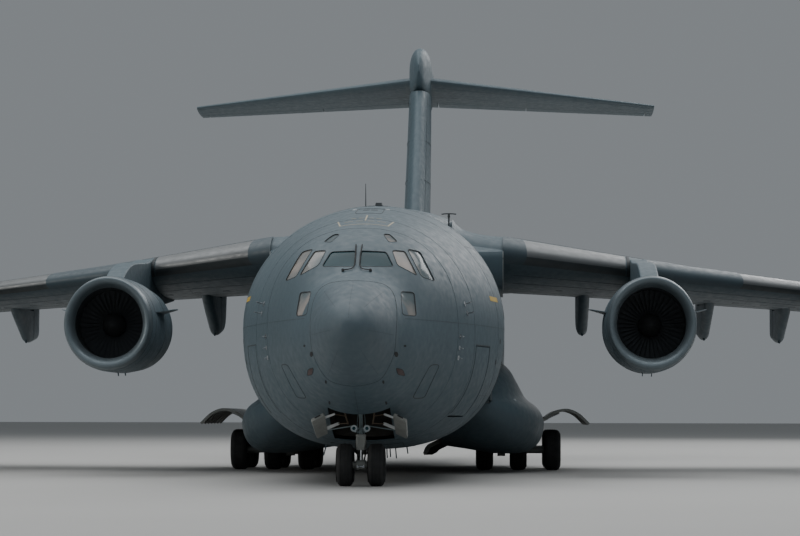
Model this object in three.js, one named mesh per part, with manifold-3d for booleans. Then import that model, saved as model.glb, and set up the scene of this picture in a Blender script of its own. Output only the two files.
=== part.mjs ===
// Military transport plane with four engines, a high wing and a T tail, as a 1:2 scale model.
// Every size and place below is the full-size aircraft's, in millimetres. MODEL_SCALE shrinks the
// group that holds them. +X is the aircraft's port side, +Y runs aft from the nose, +Z is up from
// the ground, and the centre line is at X = 0.
import * as THREE from "three";
import { mergeVertices } from "three/addons/utils/BufferGeometryUtils.js";
import Module from "manifold-3d";

const wasm = await Module();
wasm.setup();

// Driving dimensions
const MODEL_SCALE = 0.5;
const LENGTH = 53040;
const TOUCH = 0.8; // left between two pieces that touch
const CLEAR = 14; // left between two pieces that move past each other
const END_GAP = 40; // left at the ends of the wing's and stabiliser's control surfaces
const RUDDER_GAP = 80; // more at the rudders, whose hinge leans back
const RUDDER_CLEAR = 30; // between the fin and the rudders' noses
const WALL = 150; // hold and cabin wall, with frames and lining
const NOSE_WALL = 110;
const RING_STEPS = 24;

// Where the body is split
const RADOME_SEAM = 1900;
const FORWARD_SEAM = 9100;
const RAMP_HINGE_Y = 31700;
const AFT_SEAM = 31640;
const HOLD_FLOOR_Z = 1630;

const table = (names, rows) =>
  rows.map((row) => Object.fromEntries(names.split(" ").map((name, i) => [name, row[i]])));
const radians = THREE.MathUtils.degToRad;
const inOrder = (a, b) => (a < b ? [a, b] : [b, a]);

// The body's sections: the two exponents square off its upper and lower halves.
const BODY = table("y halfWidth crown keel upper lower", [
  [0, 60, 3680, 3520, 2, 2],
  [160, 330, 3950, 3270, 2, 2],
  [550, 580, 4210, 2990, 2, 2],
  [1150, 800, 4490, 2700, 2, 2],
  [1900, 1030, 4760, 2390, 2, 2],
  [2900, 1460, 5020, 2030, 2.2, 2],
  [3100, 1540, 5140, 1970, 2.3, 2],
  [3700, 1760, 5580, 1790, 2.4, 2],
  [4300, 1970, 5890, 1600, 2.4, 2.1],
  [5200, 2270, 6180, 1330, 2.3, 2.2],
  [6400, 2640, 6500, 1070, 2.1, 2.4],
  [8400, 3150, 6910, 870, 2, 2.5],
  [10500, 3430, 7200, 820, 2, 2.4],
  [13000, 3430, 7440, 820, 2, 2.35],
  [14900, 3430, 7560, 820, 2, 2.35],
  [18500, 3430, 7670, 820, 2, 2.35],
  [27500, 3430, 7680, 820, 2, 2.35],
  [31640, 3430, 7680, 850, 2, 2.9],
  [35000, 3380, 7690, 1330, 2, 3],
  [38000, 3130, 7680, 2050, 2, 2.9],
  [41000, 2680, 7640, 3030, 2, 2.6],
  [44000, 2080, 7560, 4180, 2, 2.4],
  [46500, 1400, 7420, 5150, 2, 2.2],
  [48300, 760, 7230, 5800, 2, 2],
  [49300, 300, 7000, 6350, 2, 2],
]);

// Openings of the flight deck, port side, as seen from the front: corners in x and z
const WINDOWS = [
  [[50, 5150], [844, 5165], [655, 5540], [50, 5560]],
  [[925, 5205], [1390, 4965], [1075, 5585], [775, 5590]],
  [[1480, 4950], [1790, 4875], [1420, 5610], [1125, 5650]],
  [[690, 5800], [890, 5830], [670, 6055], [515, 6045]],
  [[1040, 4560], [1334, 4550], [1400, 3980], [1100, 3985]],
];

const CREW_DOOR = { y0: 6800, y1: 8000, z0: 1690, z1: 3400 };
const CARGO_RAMP = { halfWidth: 2740, y1: 37750, rise: 9.5, backSlope: 360 };
const RAMP_BACK_Z = 2000; // where the ramp's back face starts to lean forwards, clear of the door
const RAMP_OPENING_Z = 2900;
const CARGO_DOOR = { y1: 44000, frontHalfWidth: 2600, backHalfWidth: 1560 };

// The wing outboard of its root: place of the leading edge, chord, thickness, incidence and roll
const WING = table("x leY leZ chord thick incidence roll", [
  [3600, 17208, 6460, 10450, 0.135, 3, 0],
  [9000, 20070, 5930, 7830, 0.12, 2.8, 0],
  [17500, 24575, 5215, 5155, 0.11, 2.2, 0],
  [24600, 28338, 4720, 2920, 0.105, 1.5, 0],
  [24950, 28750, 4775, 2640, 0.1, 1, 22],
  [25250, 29350, 5150, 2250, 0.095, 0, 62],
  [25460, 30100, 5900, 1850, 0.09, 0, 74],
  [25833, 31450, 7500, 1000, 0.085, 0, 76],
]);
const WING_ROOT_X = 3600;
const FLAP_FRACTION = 0.7;
const AILERON_FRACTION = 0.76;
const FLAPS = table("name x0 x1", [
  ["inboard", 4460, 10980],
  ["outboard", 11010, 17400],
]);
const AILERON = { x0: 17440, x1: 23900 };
// All flaps turn about one straight line below the wing.
const FLAP_HINGE = table("x y z", [
  [5930, 25200, 4380],
  [16500, 28050, 4080],
]);
// Flap hinge fairings, and how far the fixed part of each reaches forward of the hinge
const FLAP_PODS = table("flap x forward", [
  ["inboard", 5930, 3300],
  ["inboard", 9920, 3200],
  ["outboard", 12430, 2900],
  ["outboard", 16500, 2300],
]);
const POD_HALF_WIDTH = 175;
const POD_GAP = 10; // from the hinge to each half of a fairing

// Knuckles and pins that carry the moving pieces
const PIN_RADIUS = 30;
const KNUCKLE = { radius: 46, hollow: 66, length: 110, sides: 8, reach: 138, step: 4 };
const RAMP_HINGE = { y: 31670, z: 900, radius: 20, x: 500, length: 100, reach: 90 };
const CARGO_DOOR_HINGE = { y: 44000, z: 4850, radius: 40, x: 1150, length: 90 };
const CREW_DOOR_HINGE = { x: 2365, z: 1690, radius: 30, y: 7800, length: 90 };

// Tail
const FIN = table("z leY chord thick", [
  [7000, 36930, 10060, 0.1],
  [14820 - TOUCH, 43638, 6080, 0.143],
]);
const RUDDER_FRACTION = 0.7;
const RUDDERS = table("name z0 z1", [
  ["lower", 7950, 11360],
  ["upper", 11360 + RUDDER_GAP, 14520],
]);
const BULLET = table("y halfWidth top bottom", [
  [43250, 30, 15830, 15550],
  [43550, 190, 16230, 15050],
  [44300, 340, 16600, 14820],
  [45600, 455, 16790, 14820],
  [48600, 455, 16790, 14820],
  [50600, 370, 16560, 14820],
  [51900, 190, 16080, 14980],
  [52500, 30, 15640, 15400],
]);
const STABILISER = table("x leY leZ chord thick incidence", [
  [0, 44850, 15440, 5650, 0.1, 4],
  [9905, LENGTH - 2300 * Math.cos(radians(4)), 15080, 2300, 0.09, 4],
]);
const ELEVATOR_FRACTION = 0.7;
const ELEVATORS = table("name x0 x1", [
  ["inboard", 640, 4370],
  ["outboard", 4400, 9560],
]);

// Engines: place of the intake lip's centre
const ENGINES = table("name x lipY z", [
  ["inboard", 7445, 12655, 4197],
  ["outboard", 13950, 16100, 3760],
]);
// Nacelle wall, lip first: side is 1 on the outside and -1 in the duct
const NACELLE = table("y r side", [
  [0, 1165, 1],
  [70, 1235, 1],
  [400, 1290, 1],
  [1500, 1340, 1],
  [2800, 1335, 1],
  [4600, 1240, 1],
  [4600, 1210, -1],
  [3400, 1190, -1],
  [1800, 1030, -1],
  [900, 990, -1],
  [70, 1100, -1],
]);
const NACELLE_END = 4600;
const NACELLE_SIDES = 20;
const ROUND_SIDES = 16; // engine cores, wheels and bores
const FAN = { y0: 1300, y1: 1620, hub: 330, tip: 968, blades: 18 };
// Engine core, with the shaft that carries the fan at its front
const CORE = table("y r", [
  [FAN.y1 + TOUCH, 150],
  [1760, 170],
  [1780, 480],
  [2500, 750],
  [3500, 780],
  [5600, 560],
  [5620, 420],
  [6500, 130],
]);

// Landing gear
const MAIN_WHEEL = { radius: 635, halfWidth: 266, axle: 90, rim: 300 };
const MAIN_WHEEL_X = [2800, 3868, 4930];
const MAIN_ROWS = table("name y", [
  ["front", 23490],
  ["rear", 26280],
]);
const MAIN_LEG_X = 3334;
const LEG_BLOCK = [130, 210, 210]; // half sizes of the block on the axle
const NOSE_BLOCK = [120, 130, 130];
const SHOULDER = 1.5; // radius of an axle beside the block that carries it, as a multiple of its own
const WELL = { x0: 800, x1: 5200, y0: 22350, y1: 27500, ceiling: 1960 };
const NOSE_WHEEL = { radius: 508, halfWidth: 203, axle: 60, rim: 250 };
const NOSE_WHEEL_X = 376;
const NOSE_GEAR_Y = 4855;
const NOSE_BAY = { halfWidth: 740, y0: 3950, y1: 6500, ceiling: 2700, wall: 60 };

// Finishes
const paint = new THREE.MeshStandardMaterial({ color: 0x69737b, roughness: 0.62, metalness: 0 });
const darkPaint = new THREE.MeshStandardMaterial({ color: 0x3c4449, roughness: 0.6, metalness: 0 });
const radomePaint = new THREE.MeshStandardMaterial({ color: 0x626c74, roughness: 0.55, metalness: 0 });
const bareMetal = new THREE.MeshStandardMaterial({ color: 0x9aa0a5, roughness: 0.38, metalness: 0.9 });
const bladeMetal = new THREE.MeshStandardMaterial({ color: 0x2c2f33, roughness: 0.4, metalness: 0.9 });
const gearPaint = new THREE.MeshStandardMaterial({ color: 0xb9bdbc, roughness: 0.5, metalness: 0 });
const rubber = new THREE.MeshStandardMaterial({ color: 0x16181a, roughness: 0.85, metalness: 0 });
const glass = new THREE.MeshStandardMaterial({ color: 0x2f4a58, roughness: 0.08, metalness: 0 });
const deckPaint = new THREE.MeshStandardMaterial({ color: 0x565a5c, roughness: 0.8, metalness: 0 });

// Shape helpers

// Linear value of a column at a place between two rows.
function at(rows, key, place, column) {
  const found = rows.findIndex((row) => row[key] >= place);
  const next = found < 0 ? rows.length - 1 : Math.max(1, found);
  const [a, b] = [rows[next - 1], rows[next]];
  return a[column] + ((b[column] - a[column]) * (place - a[key])) / (b[key] - a[key]);
}

// A closed solid from a geometry, with its faces turned out.
function solid(geometry) {
  const bare = new THREE.BufferGeometry().setAttribute("position", geometry.getAttribute("position"));
  if (geometry.index) bare.setIndex(geometry.index);
  const merged = mergeVertices(bare, 1e-3);
  const corners = Array.from(merged.index.array);
  const kept = [];
  for (let i = 0; i < corners.length; i += 3) {
    const [a, b, c] = corners.slice(i, i + 3);
    if (a !== b && b !== c && a !== c) kept.push(a, b, c);
  }
  const build = (triVerts) =>
    new wasm.Manifold(
      new wasm.Mesh({
        numProp: 3,
        vertProperties: merged.attributes.position.array,
        triVerts: new Uint32Array(triVerts),
      }),
    );
  const made = build(kept);
  return made.volume() > 0 ? made : build(kept.reverse());
}

const join = (...pieces) => pieces.reduce((sum, piece) => sum.add(piece));
const cut = (piece, ...tools) => tools.reduce((left, tool) => left.subtract(tool), piece);

// A skin through rings of points, capped at both ends. All rings have the same number of points.
// The diagonals of its faces mirror across the centre line, so that the two sides are alike.
function loft(rings) {
  const count = rings[0].length;
  const index = [];
  for (let r = 0; r + 1 < rings.length; r++)
    for (let i = 0; i < count; i++) {
      const j = (i + 1) % count;
      const [a, b, c, d] = [r * count + i, r * count + j, (r + 1) * count + i, (r + 1) * count + j];
      if (rings[r][i][0] + rings[r][j][0] < 0) index.push(a, b, c, b, d, c);
      else index.push(a, b, d, a, d, c);
    }
  for (const [start, reverse] of [
    [0, true],
    [(rings.length - 1) * count, false],
  ])
    for (const face of capFaces(rings[start / count])) {
      const [a, b, c] = face.map((i) => start + i);
      index.push(a, reverse ? c : b, reverse ? b : c);
    }
  const geometry = new THREE.BufferGeometry();
  geometry.setAttribute("position", new THREE.Float32BufferAttribute(rings.flat(2), 3));
  geometry.setIndex(index);
  return solid(geometry);
}

// Triangles that fill a ring, turned the way the ring turns.
function capFaces(ring) {
  const normal = new THREE.Vector3();
  ring.forEach(([x, y, z], i) => {
    const [nx, ny, nz] = ring[(i + 1) % ring.length];
    normal.add(new THREE.Vector3((y - ny) * (z + nz), (z - nz) * (x + nx), (x - nx) * (y + ny)));
  });
  const sizes = normal.toArray().map(Math.abs);
  const drop = sizes.indexOf(Math.max(...sizes));
  const flat = ring.map((point) => {
    const [u, v] = [point[(drop + 1) % 3], point[(drop + 2) % 3]];
    return new THREE.Vector2(u, v);
  });
  const faces = THREE.ShapeUtils.triangulateShape(flat, []);
  return THREE.ShapeUtils.area(flat) > 0 ? faces : faces.map(([a, b, c]) => [a, c, b]);
}

// A prism: an outline in the plane across the given axis, from one place on that axis to another.
function prism(axis, outline, from, to) {
  const shape = new THREE.Shape(outline.map(([u, v]) => new THREE.Vector2(u, v)));
  const geometry = new THREE.ExtrudeGeometry(shape, { depth: to - from, bevelEnabled: false });
  geometry.translate(0, 0, from);
  const [x, y, z] = [new THREE.Vector3(1, 0, 0), new THREE.Vector3(0, 1, 0), new THREE.Vector3(0, 0, 1)];
  const basis = { x: [y, z, x], y: [x, z, y], z: [x, y, z] }[axis];
  geometry.applyMatrix4(new THREE.Matrix4().makeBasis(...basis));
  return solid(geometry);
}

function block([x0, x1], [y0, y1], [z0, z1]) {
  const geometry = new THREE.BoxGeometry(x1 - x0, y1 - y0, z1 - z0);
  geometry.translate((x0 + x1) / 2, (y0 + y1) / 2, (z0 + z1) / 2);
  return solid(geometry);
}

function rod(from, to, radius, sides = 12, endRadius = radius) {
  const [a, b] = [new THREE.Vector3(...from), new THREE.Vector3(...to)];
  const along = b.clone().sub(a);
  const geometry = new THREE.CylinderGeometry(endRadius, radius, along.length(), sides);
  geometry.applyQuaternion(
    new THREE.Quaternion().setFromUnitVectors(new THREE.Vector3(0, 1, 0), along.clone().normalize()),
  );
  const middle = a.add(b).multiplyScalar(0.5);
  geometry.translate(middle.x, middle.y, middle.z);
  return solid(geometry);
}

// A turned solid about the x or y axis through the centre. The profile's points are the radius and
// the place on the axis.
function turned(axis, profile, centre, segments) {
  const points = profile.map(([r, t]) => new THREE.Vector2(r, t));
  const geometry = new THREE.LatheGeometry(points, segments);
  if (axis === "x") geometry.rotateZ(-Math.PI / 2);
  geometry.translate(...centre);
  return solid(geometry);
}

// Body sections

function stationRing(row, inset) {
  const halfWidth = row.halfWidth - inset;
  const middle = (row.crown + row.keel) / 2;
  const halfHeight = (row.crown - row.keel) / 2 - inset;
  return Array.from({ length: RING_STEPS }, (_, i) => {
    const angle = (i / RING_STEPS) * 2 * Math.PI;
    const [c, s] = [Math.cos(angle), Math.sin(angle)];
    const power = 2 / (s >= 0 ? row.upper : row.lower);
    const round = (part) => Math.sign(part) * Math.abs(part) ** power;
    return [halfWidth * round(c), row.y, middle + halfHeight * round(s)];
  });
}

// The whole body drawn in by an inset, and the stretch of it between two places.
function body(from, to, inset = 0) {
  const rows = BODY.filter((row) => row.halfWidth > inset + 50);
  const whole = loft(rows.map((row) => stationRing(row, inset)));
  return whole.intersect(block([-9000, 9000], [from, to], [-1000, 9000]));
}

// Aerofoil sections

const foilHalf = (x, thick) =>
  5 * thick * (0.2969 * Math.sqrt(x) - 0.126 * x - 0.3516 * x ** 2 + 0.2843 * x ** 3 - 0.1036 * x ** 4) +
  0.002 * x;

// A point of a section: u along the chord and v across it, both as fractions of the chord.
function foilPoint(section, u, v) {
  const [pitch, roll] = [section.incidence ?? 0, section.roll ?? 0].map(radians);
  if (section.upright) return [v * section.chord, section.leY + u * section.chord, section.z];
  return [
    section.x - v * section.chord * Math.sin(roll),
    section.leY + section.chord * (u * Math.cos(pitch) + v * Math.sin(pitch)),
    section.leZ + section.chord * (v * Math.cos(roll) - u * Math.sin(pitch)),
  ];
}

const CHORD_STEPS = [0, 0.015, 0.06, 0.16, 0.32];

// The outline of a section, from its nose to the fraction of the chord where it ends.
function fixedRing(section, end = 1, grow = 0) {
  const steps = [...CHORD_STEPS, (0.32 + end) / 2, end];
  const side = (u) => foilHalf(u, section.thick) + grow / section.chord;
  const nose = -grow / section.chord;
  const stretch = (u) => (u === 0 ? nose : u === end ? end + grow / section.chord : u);
  return [
    ...steps.map((u) => foilPoint(section, stretch(u), u === 0 ? 0 : side(u))).reverse(),
    ...steps.slice(1).map((u) => foilPoint(section, stretch(u), -side(u))),
  ];
}

// A control surface of a section: a round nose about its hinge, then back to the trailing edge.
function controlRing(section, hinge) {
  const radius = foilHalf(hinge, section.thick);
  const nose = [150, 180, 210].map((degrees) => {
    const angle = radians(degrees);
    return [hinge + radius * Math.cos(angle), radius * Math.sin(angle)];
  });
  const back = [hinge, (hinge + 1) / 2, 1];
  return [
    ...back.map((u) => [u, foilHalf(u, section.thick)]).reverse(),
    ...nose,
    ...back.map((u) => [u, -foilHalf(u, section.thick)]),
  ].map(([u, v]) => foilPoint(section, u, v));
}

// Where the fixed part ends ahead of a control surface that turns about its hinge.
const coveEnd = (section, hinge, gap = CLEAR) =>
  hinge - foilHalf(hinge, section.thick) - gap / section.chord;

function sectionAt(rows, key, place) {
  const columns = Object.keys(rows[0]).filter((column) => column !== key);
  const values = columns.map((column) => [column, at(rows, key, place, column)]);
  return { [key]: place, ...Object.fromEntries(values) };
}

const wingAt = (x) => sectionAt(WING, "x", x);
const stabiliserAt = (x) => sectionAt(STABILISER, "x", x);
const finAt = (z) => ({ ...sectionAt(FIN, "z", z), upright: true });

// The group and its meshes

const aircraft = new THREE.Group();
aircraft.scale.setScalar(MODEL_SCALE);
aircraft.position.set(0, (-LENGTH / 2) * MODEL_SCALE, 0);

function add(name, shape, finish, { mirrored = false, position = [0, 0, 0] } = {}) {
  const mesh = shape.getMesh();
  const geometry = new THREE.BufferGeometry();
  geometry.setAttribute("position", new THREE.BufferAttribute(Float32Array.from(mesh.vertProperties), 3));
  geometry.setIndex(Array.from(mesh.triVerts));
  geometry.computeVertexNormals();
  const piece = new THREE.Mesh(geometry, finish);
  piece.name = name;
  piece.position.set(...position);
  if (mirrored) {
    piece.scale.x = -1;
    piece.position.x *= -1;
  }
  aircraft.add(piece);
}

// A piece on the port side and its mirror image on the starboard side.
function addPair(name, shape, finish, position = [0, 0, 0]) {
  add(`${name}_port`, shape, finish, { position });
  add(`${name}_starboard`, shape, finish, { position, mirrored: true });
}

// Wing centre section: the stub between the two root ribs and the low fairing over the body
function wingCentre(grow = 0) {
  const root = wingAt(WING_ROOT_X);
  const half = WING_ROOT_X - TOUCH + grow;
  const stub = loft([-half, half].map((x) => fixedRing({ ...root, x }, 1, grow)));
  const HUMP = table("y halfWidth top bottom", [
    [15300, 900, 7520, 6600],
    [17500, 1900, 7760, 6350],
    [20500, 2500, 7880, 6000],
    [26500, 2500, 7880, 6000],
    [29500, 1900, 7800, 6300],
    [31300, 1000, 7600, 6700],
  ]);
  const hump = loft(
    HUMP.map((row, i) => {
      const y = row.y + (i === 0 ? -grow : i === HUMP.length - 1 ? grow : 0);
      const [w, top, bottom] = [row.halfWidth + grow, row.top + grow, row.bottom - grow];
      const shoulder = top - 0.18 * row.halfWidth;
      return [[w, bottom], [w, shoulder - 500], [w * 0.82, shoulder], [w * 0.45, top - 60], [0, top]]
        .concat([[-w * 0.45, top - 60], [-w * 0.82, shoulder], [-w, shoulder - 500], [-w, bottom]])
        .map(([x, z]) => [x, y, z]);
    }),
  );
  return join(stub, hump);
}

// Hinge lines
const flapPivot = (x) => [x, at(FLAP_HINGE, "x", x, "y"), at(FLAP_HINGE, "x", x, "z")];
const flapLine = [FLAPS[0].x0, FLAPS[1].x1].map(flapPivot);
const aileronLine = [AILERON.x0, AILERON.x1].map((x) => foilPoint(wingAt(x), AILERON_FRACTION, 0));

// The point of a line at a place on one of its coordinates
function pointOn([from, to], index, place) {
  const share = (place - from[index]) / (to[index] - from[index]);
  return from.map((value, i) => value + share * (to[i] - value));
}

// A pin on a hinge line, from inside a moving surface up to the fixed wall that it turns against.
// The wall is square to the line, or to the coordinate.
function hingePin(line, index, inside, wall, square = false) {
  const [from, to] = line;
  const slope = (to[index] - from[index]) / Math.hypot(...to.map((value, i) => value - from[i]));
  const rim = square ? 0 : PIN_RADIUS * Math.sqrt(1 - slope ** 2);
  const end = wall + Math.sign(inside - wall) * (rim + TOUCH);
  return rod(pointOn(line, index, inside), pointOn(line, index, end), PIN_RADIUS, KNUCKLE.sides);
}

// The stretch of a shape between two planes square to a hinge line, at the line's points at x0 and x1.
function between(shape, [from, to], x0, x1) {
  const along = to.map((value, i) => value - from[i]);
  const length = Math.hypot(...along);
  const place = (x) => {
    const share = (x - from[0]) / along[0];
    return along.reduce((sum, value, i) => sum + value * (from[i] + share * value), 0) / length;
  };
  const back = along.map((value) => -value);
  return shape.trimByPlane(along, place(x0)).trimByPlane(back, -place(x1));
}

// The space behind the fixed part of the wing in which a control surface lies
const BAY_END = 1.2; // as a fraction of the chord
function bay(stations, hinge, top, bottom) {
  return loft(
    stations.map((x) => {
      const section = wingAt(x);
      const start = coveEnd(section, hinge);
      const [high, low] = [top(section), bottom(section)];
      const corners = [[start, high], [BAY_END, high], [BAY_END, low], [start, low]];
      return corners.map(([u, v]) => foilPoint(section, u, v));
    }),
  );
}
const FLAP_STATIONS = [3200, 9000, 17500, 18400];
const AILERON_STATIONS = [16600, 17500, 24600];
const BAY_OVERLAP = 80; // the flaps' and the ailerons' bays run into each other

// Wing with its winglet, without the bays of the flaps and the aileron
function wing(grow = 0) {
  const sections = [wingAt(WING_ROOT_X + TOUCH), ...WING.slice(1)];
  const whole = loft(sections.map((section) => fixedRing(section, 1, grow)));
  const [above, below] = [() => 0.2, () => -0.2];
  const flapBay = bay(FLAP_STATIONS, FLAP_FRACTION, above, below);
  const aileronBay = bay(AILERON_STATIONS, AILERON_FRACTION, above, below);
  return cut(
    whole,
    between(flapBay, flapLine, FLAPS[0].x0 - END_GAP, FLAPS[1].x1 + END_GAP),
    between(aileronBay, aileronLine, AILERON.x0 - BAY_OVERLAP, AILERON.x1 + END_GAP),
  );
}

const underside = (x, u) => foilPoint(wingAt(x), u, -foilHalf(u, wingAt(x).thick));

// Half of a fairing: the part of its outline ahead of the hinge line (side -1) or behind it (side 1),
// with its half of the knuckle
function pod(x, outline, side) {
  const [from, to] = flapLine;
  const across = [side * (from[1] - to[1]), side * (to[0] - from[0]), 0];
  const [px, py, pz] = flapPivot(x);
  const place = (across[0] * px + across[1] * py) / Math.hypot(...across);
  const whole = prism("x", outline, x - POD_HALF_WIDTH, x + POD_HALF_WIDTH);
  const half = whole.trimByPlane(across, place + POD_GAP);
  const hollowEnds = [x - 2 * POD_HALF_WIDTH, x + 2 * POD_HALF_WIDTH].map(flapPivot);
  const hollow = rod(...hollowEnds, KNUCKLE.hollow, KNUCKLE.sides);
  const [near, far] = [x + (side * TOUCH) / 2, x + side * KNUCKLE.length];
  const arm = block(
    inOrder(near + side * KNUCKLE.step, far),
    inOrder(py, py + side * KNUCKLE.reach),
    [pz + (side > 0 ? KNUCKLE.step : -KNUCKLE.radius), pz + KNUCKLE.radius],
  );
  return join(cut(half, hollow), rod(flapPivot(near), flapPivot(far), KNUCKLE.radius, KNUCKLE.sides), arm);
}

// The fixed half, which hangs under the wing
function podFront({ x, forward }) {
  const [, y, z] = flapPivot(x);
  const roof = at(WING, "x", x, "leZ") - 150;
  const surface = underside(x, 0.55)[2];
  const depth = (share) => surface + (z - surface) * share;
  return pod(
    x,
    [
      [y - forward, roof],
      [y - forward, depth(-0.1)],
      [y - 0.62 * forward, depth(0.42)],
      [y - 0.3 * forward, depth(0.84)],
      [y - 380, z - 60],
      [y + 200, z - 60],
      [y + 200, roof],
    ],
    -1,
  );
}

// The moving half, which carries the flap
function podBack({ x }) {
  const [, y, z] = flapPivot(x);
  const [, edgeY, edgeZ] = foilPoint(wingAt(x), 0.97, 0);
  return pod(
    x,
    [
      [y - 200, z],
      [y + 380, z + 60],
      [edgeY - 900, (z + edgeZ) / 2 + 120],
      [edgeY, edgeZ - 20],
      [y + 900, edgeZ + 120],
      [y - 200, underside(x, FLAP_FRACTION)[2] - 30],
    ],
    1,
  );
}

const flapPanels = loft(FLAP_STATIONS.map((x) => controlRing(wingAt(x), FLAP_FRACTION)));
const aileronPanel = loft(AILERON_STATIONS.map((x) => controlRing(wingAt(x), AILERON_FRACTION)));
// The fixed fairings stay clear of the space in which the flaps' noses lie.
const flapSpace = bay(
  FLAP_STATIONS,
  FLAP_FRACTION,
  () => 0.1,
  (section) => -foilHalf(FLAP_FRACTION, section.thick) - CLEAR / section.chord,
);
const fixedPods = FLAP_PODS.map((row) => cut(podFront(row), flapSpace));
addPair("wing", join(wing(), ...fixedPods), paint);
FLAPS.forEach(({ name, x0, x1 }) => {
  const carriers = FLAP_PODS.filter((row) => row.flap === name).map(podBack);
  addPair(`flap_${name}`, join(between(flapPanels, flapLine, x0, x1), ...carriers), paint);
});
const aileronPin = hingePin(aileronLine, 0, AILERON.x1 - 3 * PIN_RADIUS, AILERON.x1 + END_GAP, true);
addPair("aileron", join(between(aileronPanel, aileronLine, AILERON.x0, AILERON.x1), aileronPin), paint);
add("wing_centre_fairing", wingCentre(), paint);

// Body shell in three barrels, open inside, and its closed nose cone
const windowCuts = WINDOWS.flatMap((corners) => [
  prism("y", corners, 2500, 6300),
  prism("y", corners.map(([x, z]) => [-x, z]), 2500, 6300),
]);
const doorOpening = (gap) =>
  block([1500, 4000], [CREW_DOOR.y0 - gap, CREW_DOOR.y1 + gap], [CREW_DOOR.z0 - gap, CREW_DOOR.z1 + gap]);
const bayOuter = block(
  [-NOSE_BAY.halfWidth - NOSE_BAY.wall, NOSE_BAY.halfWidth + NOSE_BAY.wall],
  [NOSE_BAY.y0 - NOSE_BAY.wall, NOSE_BAY.y1 + NOSE_BAY.wall],
  [500, NOSE_BAY.ceiling + NOSE_BAY.wall],
);
const bayInner = block(
  [-NOSE_BAY.halfWidth, NOSE_BAY.halfWidth],
  [NOSE_BAY.y0, NOSE_BAY.y1],
  [400, NOSE_BAY.ceiling],
);
const noseOuter = body(RADOME_SEAM + TOUCH, FORWARD_SEAM - TOUCH);
const noseShell = cut(noseOuter, body(2450, FORWARD_SEAM + 100, NOSE_WALL));
// Knuckles of the crew door's hinge, beside each other along it
const crewKnuckle = (...ends) => {
  const [from, to] = ends.map((y) => [CREW_DOOR_HINGE.x, y, CREW_DOOR_HINGE.z]);
  return rod(from, to, CREW_DOOR_HINGE.radius);
};
const crewFixed = [CREW_DOOR_HINGE.y + TOUCH / 2, CREW_DOOR_HINGE.y + CREW_DOOR_HINGE.length];
const crewMoving = [CREW_DOOR_HINGE.y - CREW_DOOR_HINGE.length, CREW_DOOR_HINGE.y - TOUCH / 2];
const crewBracket = join(
  crewKnuckle(...crewFixed),
  block([CREW_DOOR_HINGE.x - 145, CREW_DOOR_HINGE.x], crewFixed, [CREW_DOOR.z0 - 54, CREW_DOOR.z0 - 26]),
  block([CREW_DOOR_HINGE.x - 25, CREW_DOOR_HINGE.x], crewFixed, [CREW_DOOR.z0 - 54, CREW_DOOR.z0]),
);
add("radome", body(0, RADOME_SEAM), radomePaint);
add(
  "fuselage_forward",
  join(
    cut(join(noseShell, bayOuter.intersect(noseOuter)), bayInner, doorOpening(CLEAR), ...windowCuts),
    crewBracket,
  ),
  paint,
);

const centreShell = cut(
  body(FORWARD_SEAM, AFT_SEAM - TOUCH),
  body(FORWARD_SEAM - 100, AFT_SEAM + 100, WALL),
  wingCentre(TOUCH),
);
// Knuckles of the ramp's hinge: side is -1 ahead of the hinge and 1 behind it.
const rampKnuckles = (side) =>
  [-1, 1].map((hand) => {
    const { y, z, radius, x, length, reach } = RAMP_HINGE;
    const ends = [hand * (x - (side * TOUCH) / 2), hand * (x - side * length)];
    return join(
      rod([ends[0], y, z], [ends[1], y, z], radius),
      block(inOrder(...ends), inOrder(y, y + side * reach), [z - radius, z + radius]),
    );
  });
add("fuselage_centre", join(centreShell, ...rampKnuckles(-1)), paint);

// Crew door: hinged along its lower edge, with its steps on the inside
const doorPanel = cut(body(RADOME_SEAM, FORWARD_SEAM), body(2450, FORWARD_SEAM + 100, NOSE_WALL)).intersect(
  doorOpening(0),
);
const crewArmLevels = [CREW_DOOR.z0 + 2, CREW_DOOR.z0 + 28];
const crewArm = block([CREW_DOOR_HINGE.x - 125, CREW_DOOR_HINGE.x], crewMoving, crewArmLevels);
add("crew_door", join(doorPanel, crewArm, crewKnuckle(...crewMoving)), paint);

// Cargo ramp and cargo door
const rampTop = (y) => HOLD_FLOOR_Z + (y - RAMP_HINGE_Y) * Math.tan(radians(CARGO_RAMP.rise));
const rampBody = prism(
  "x",
  [
    [RAMP_HINGE_Y, 0],
    [CARGO_RAMP.y1, 0],
    [CARGO_RAMP.y1, RAMP_BACK_Z],
    [CARGO_RAMP.y1 - CARGO_RAMP.backSlope, rampTop(CARGO_RAMP.y1)],
    [RAMP_HINGE_Y, HOLD_FLOOR_Z],
  ],
  -CARGO_RAMP.halfWidth,
  CARGO_RAMP.halfWidth,
);
const rampOpening = block(
  [-CARGO_RAMP.halfWidth - CLEAR, CARGO_RAMP.halfWidth + CLEAR],
  [AFT_SEAM - CLEAR, CARGO_RAMP.y1 + CLEAR],
  [0, RAMP_OPENING_Z],
);
const doorSpace = (gap) => {
  const [front, back] = [CARGO_RAMP.y1 + 2 * CLEAR - gap, CARGO_DOOR.y1 + gap];
  const [wide, narrow] = [CARGO_DOOR.frontHalfWidth + gap, CARGO_DOOR.backHalfWidth + gap];
  return prism("z", [[-wide, front], [wide, front], [narrow, back], [-narrow, back]], 500, 5200);
};
const aftOuter = body(AFT_SEAM, 49300);
const aftInner = body(AFT_SEAM - 100, 48000, WALL);
const aftShell = cut(aftOuter, aftInner);
add("cargo_ramp", join(aftOuter.intersect(rampBody), ...rampKnuckles(1)), paint);
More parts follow.
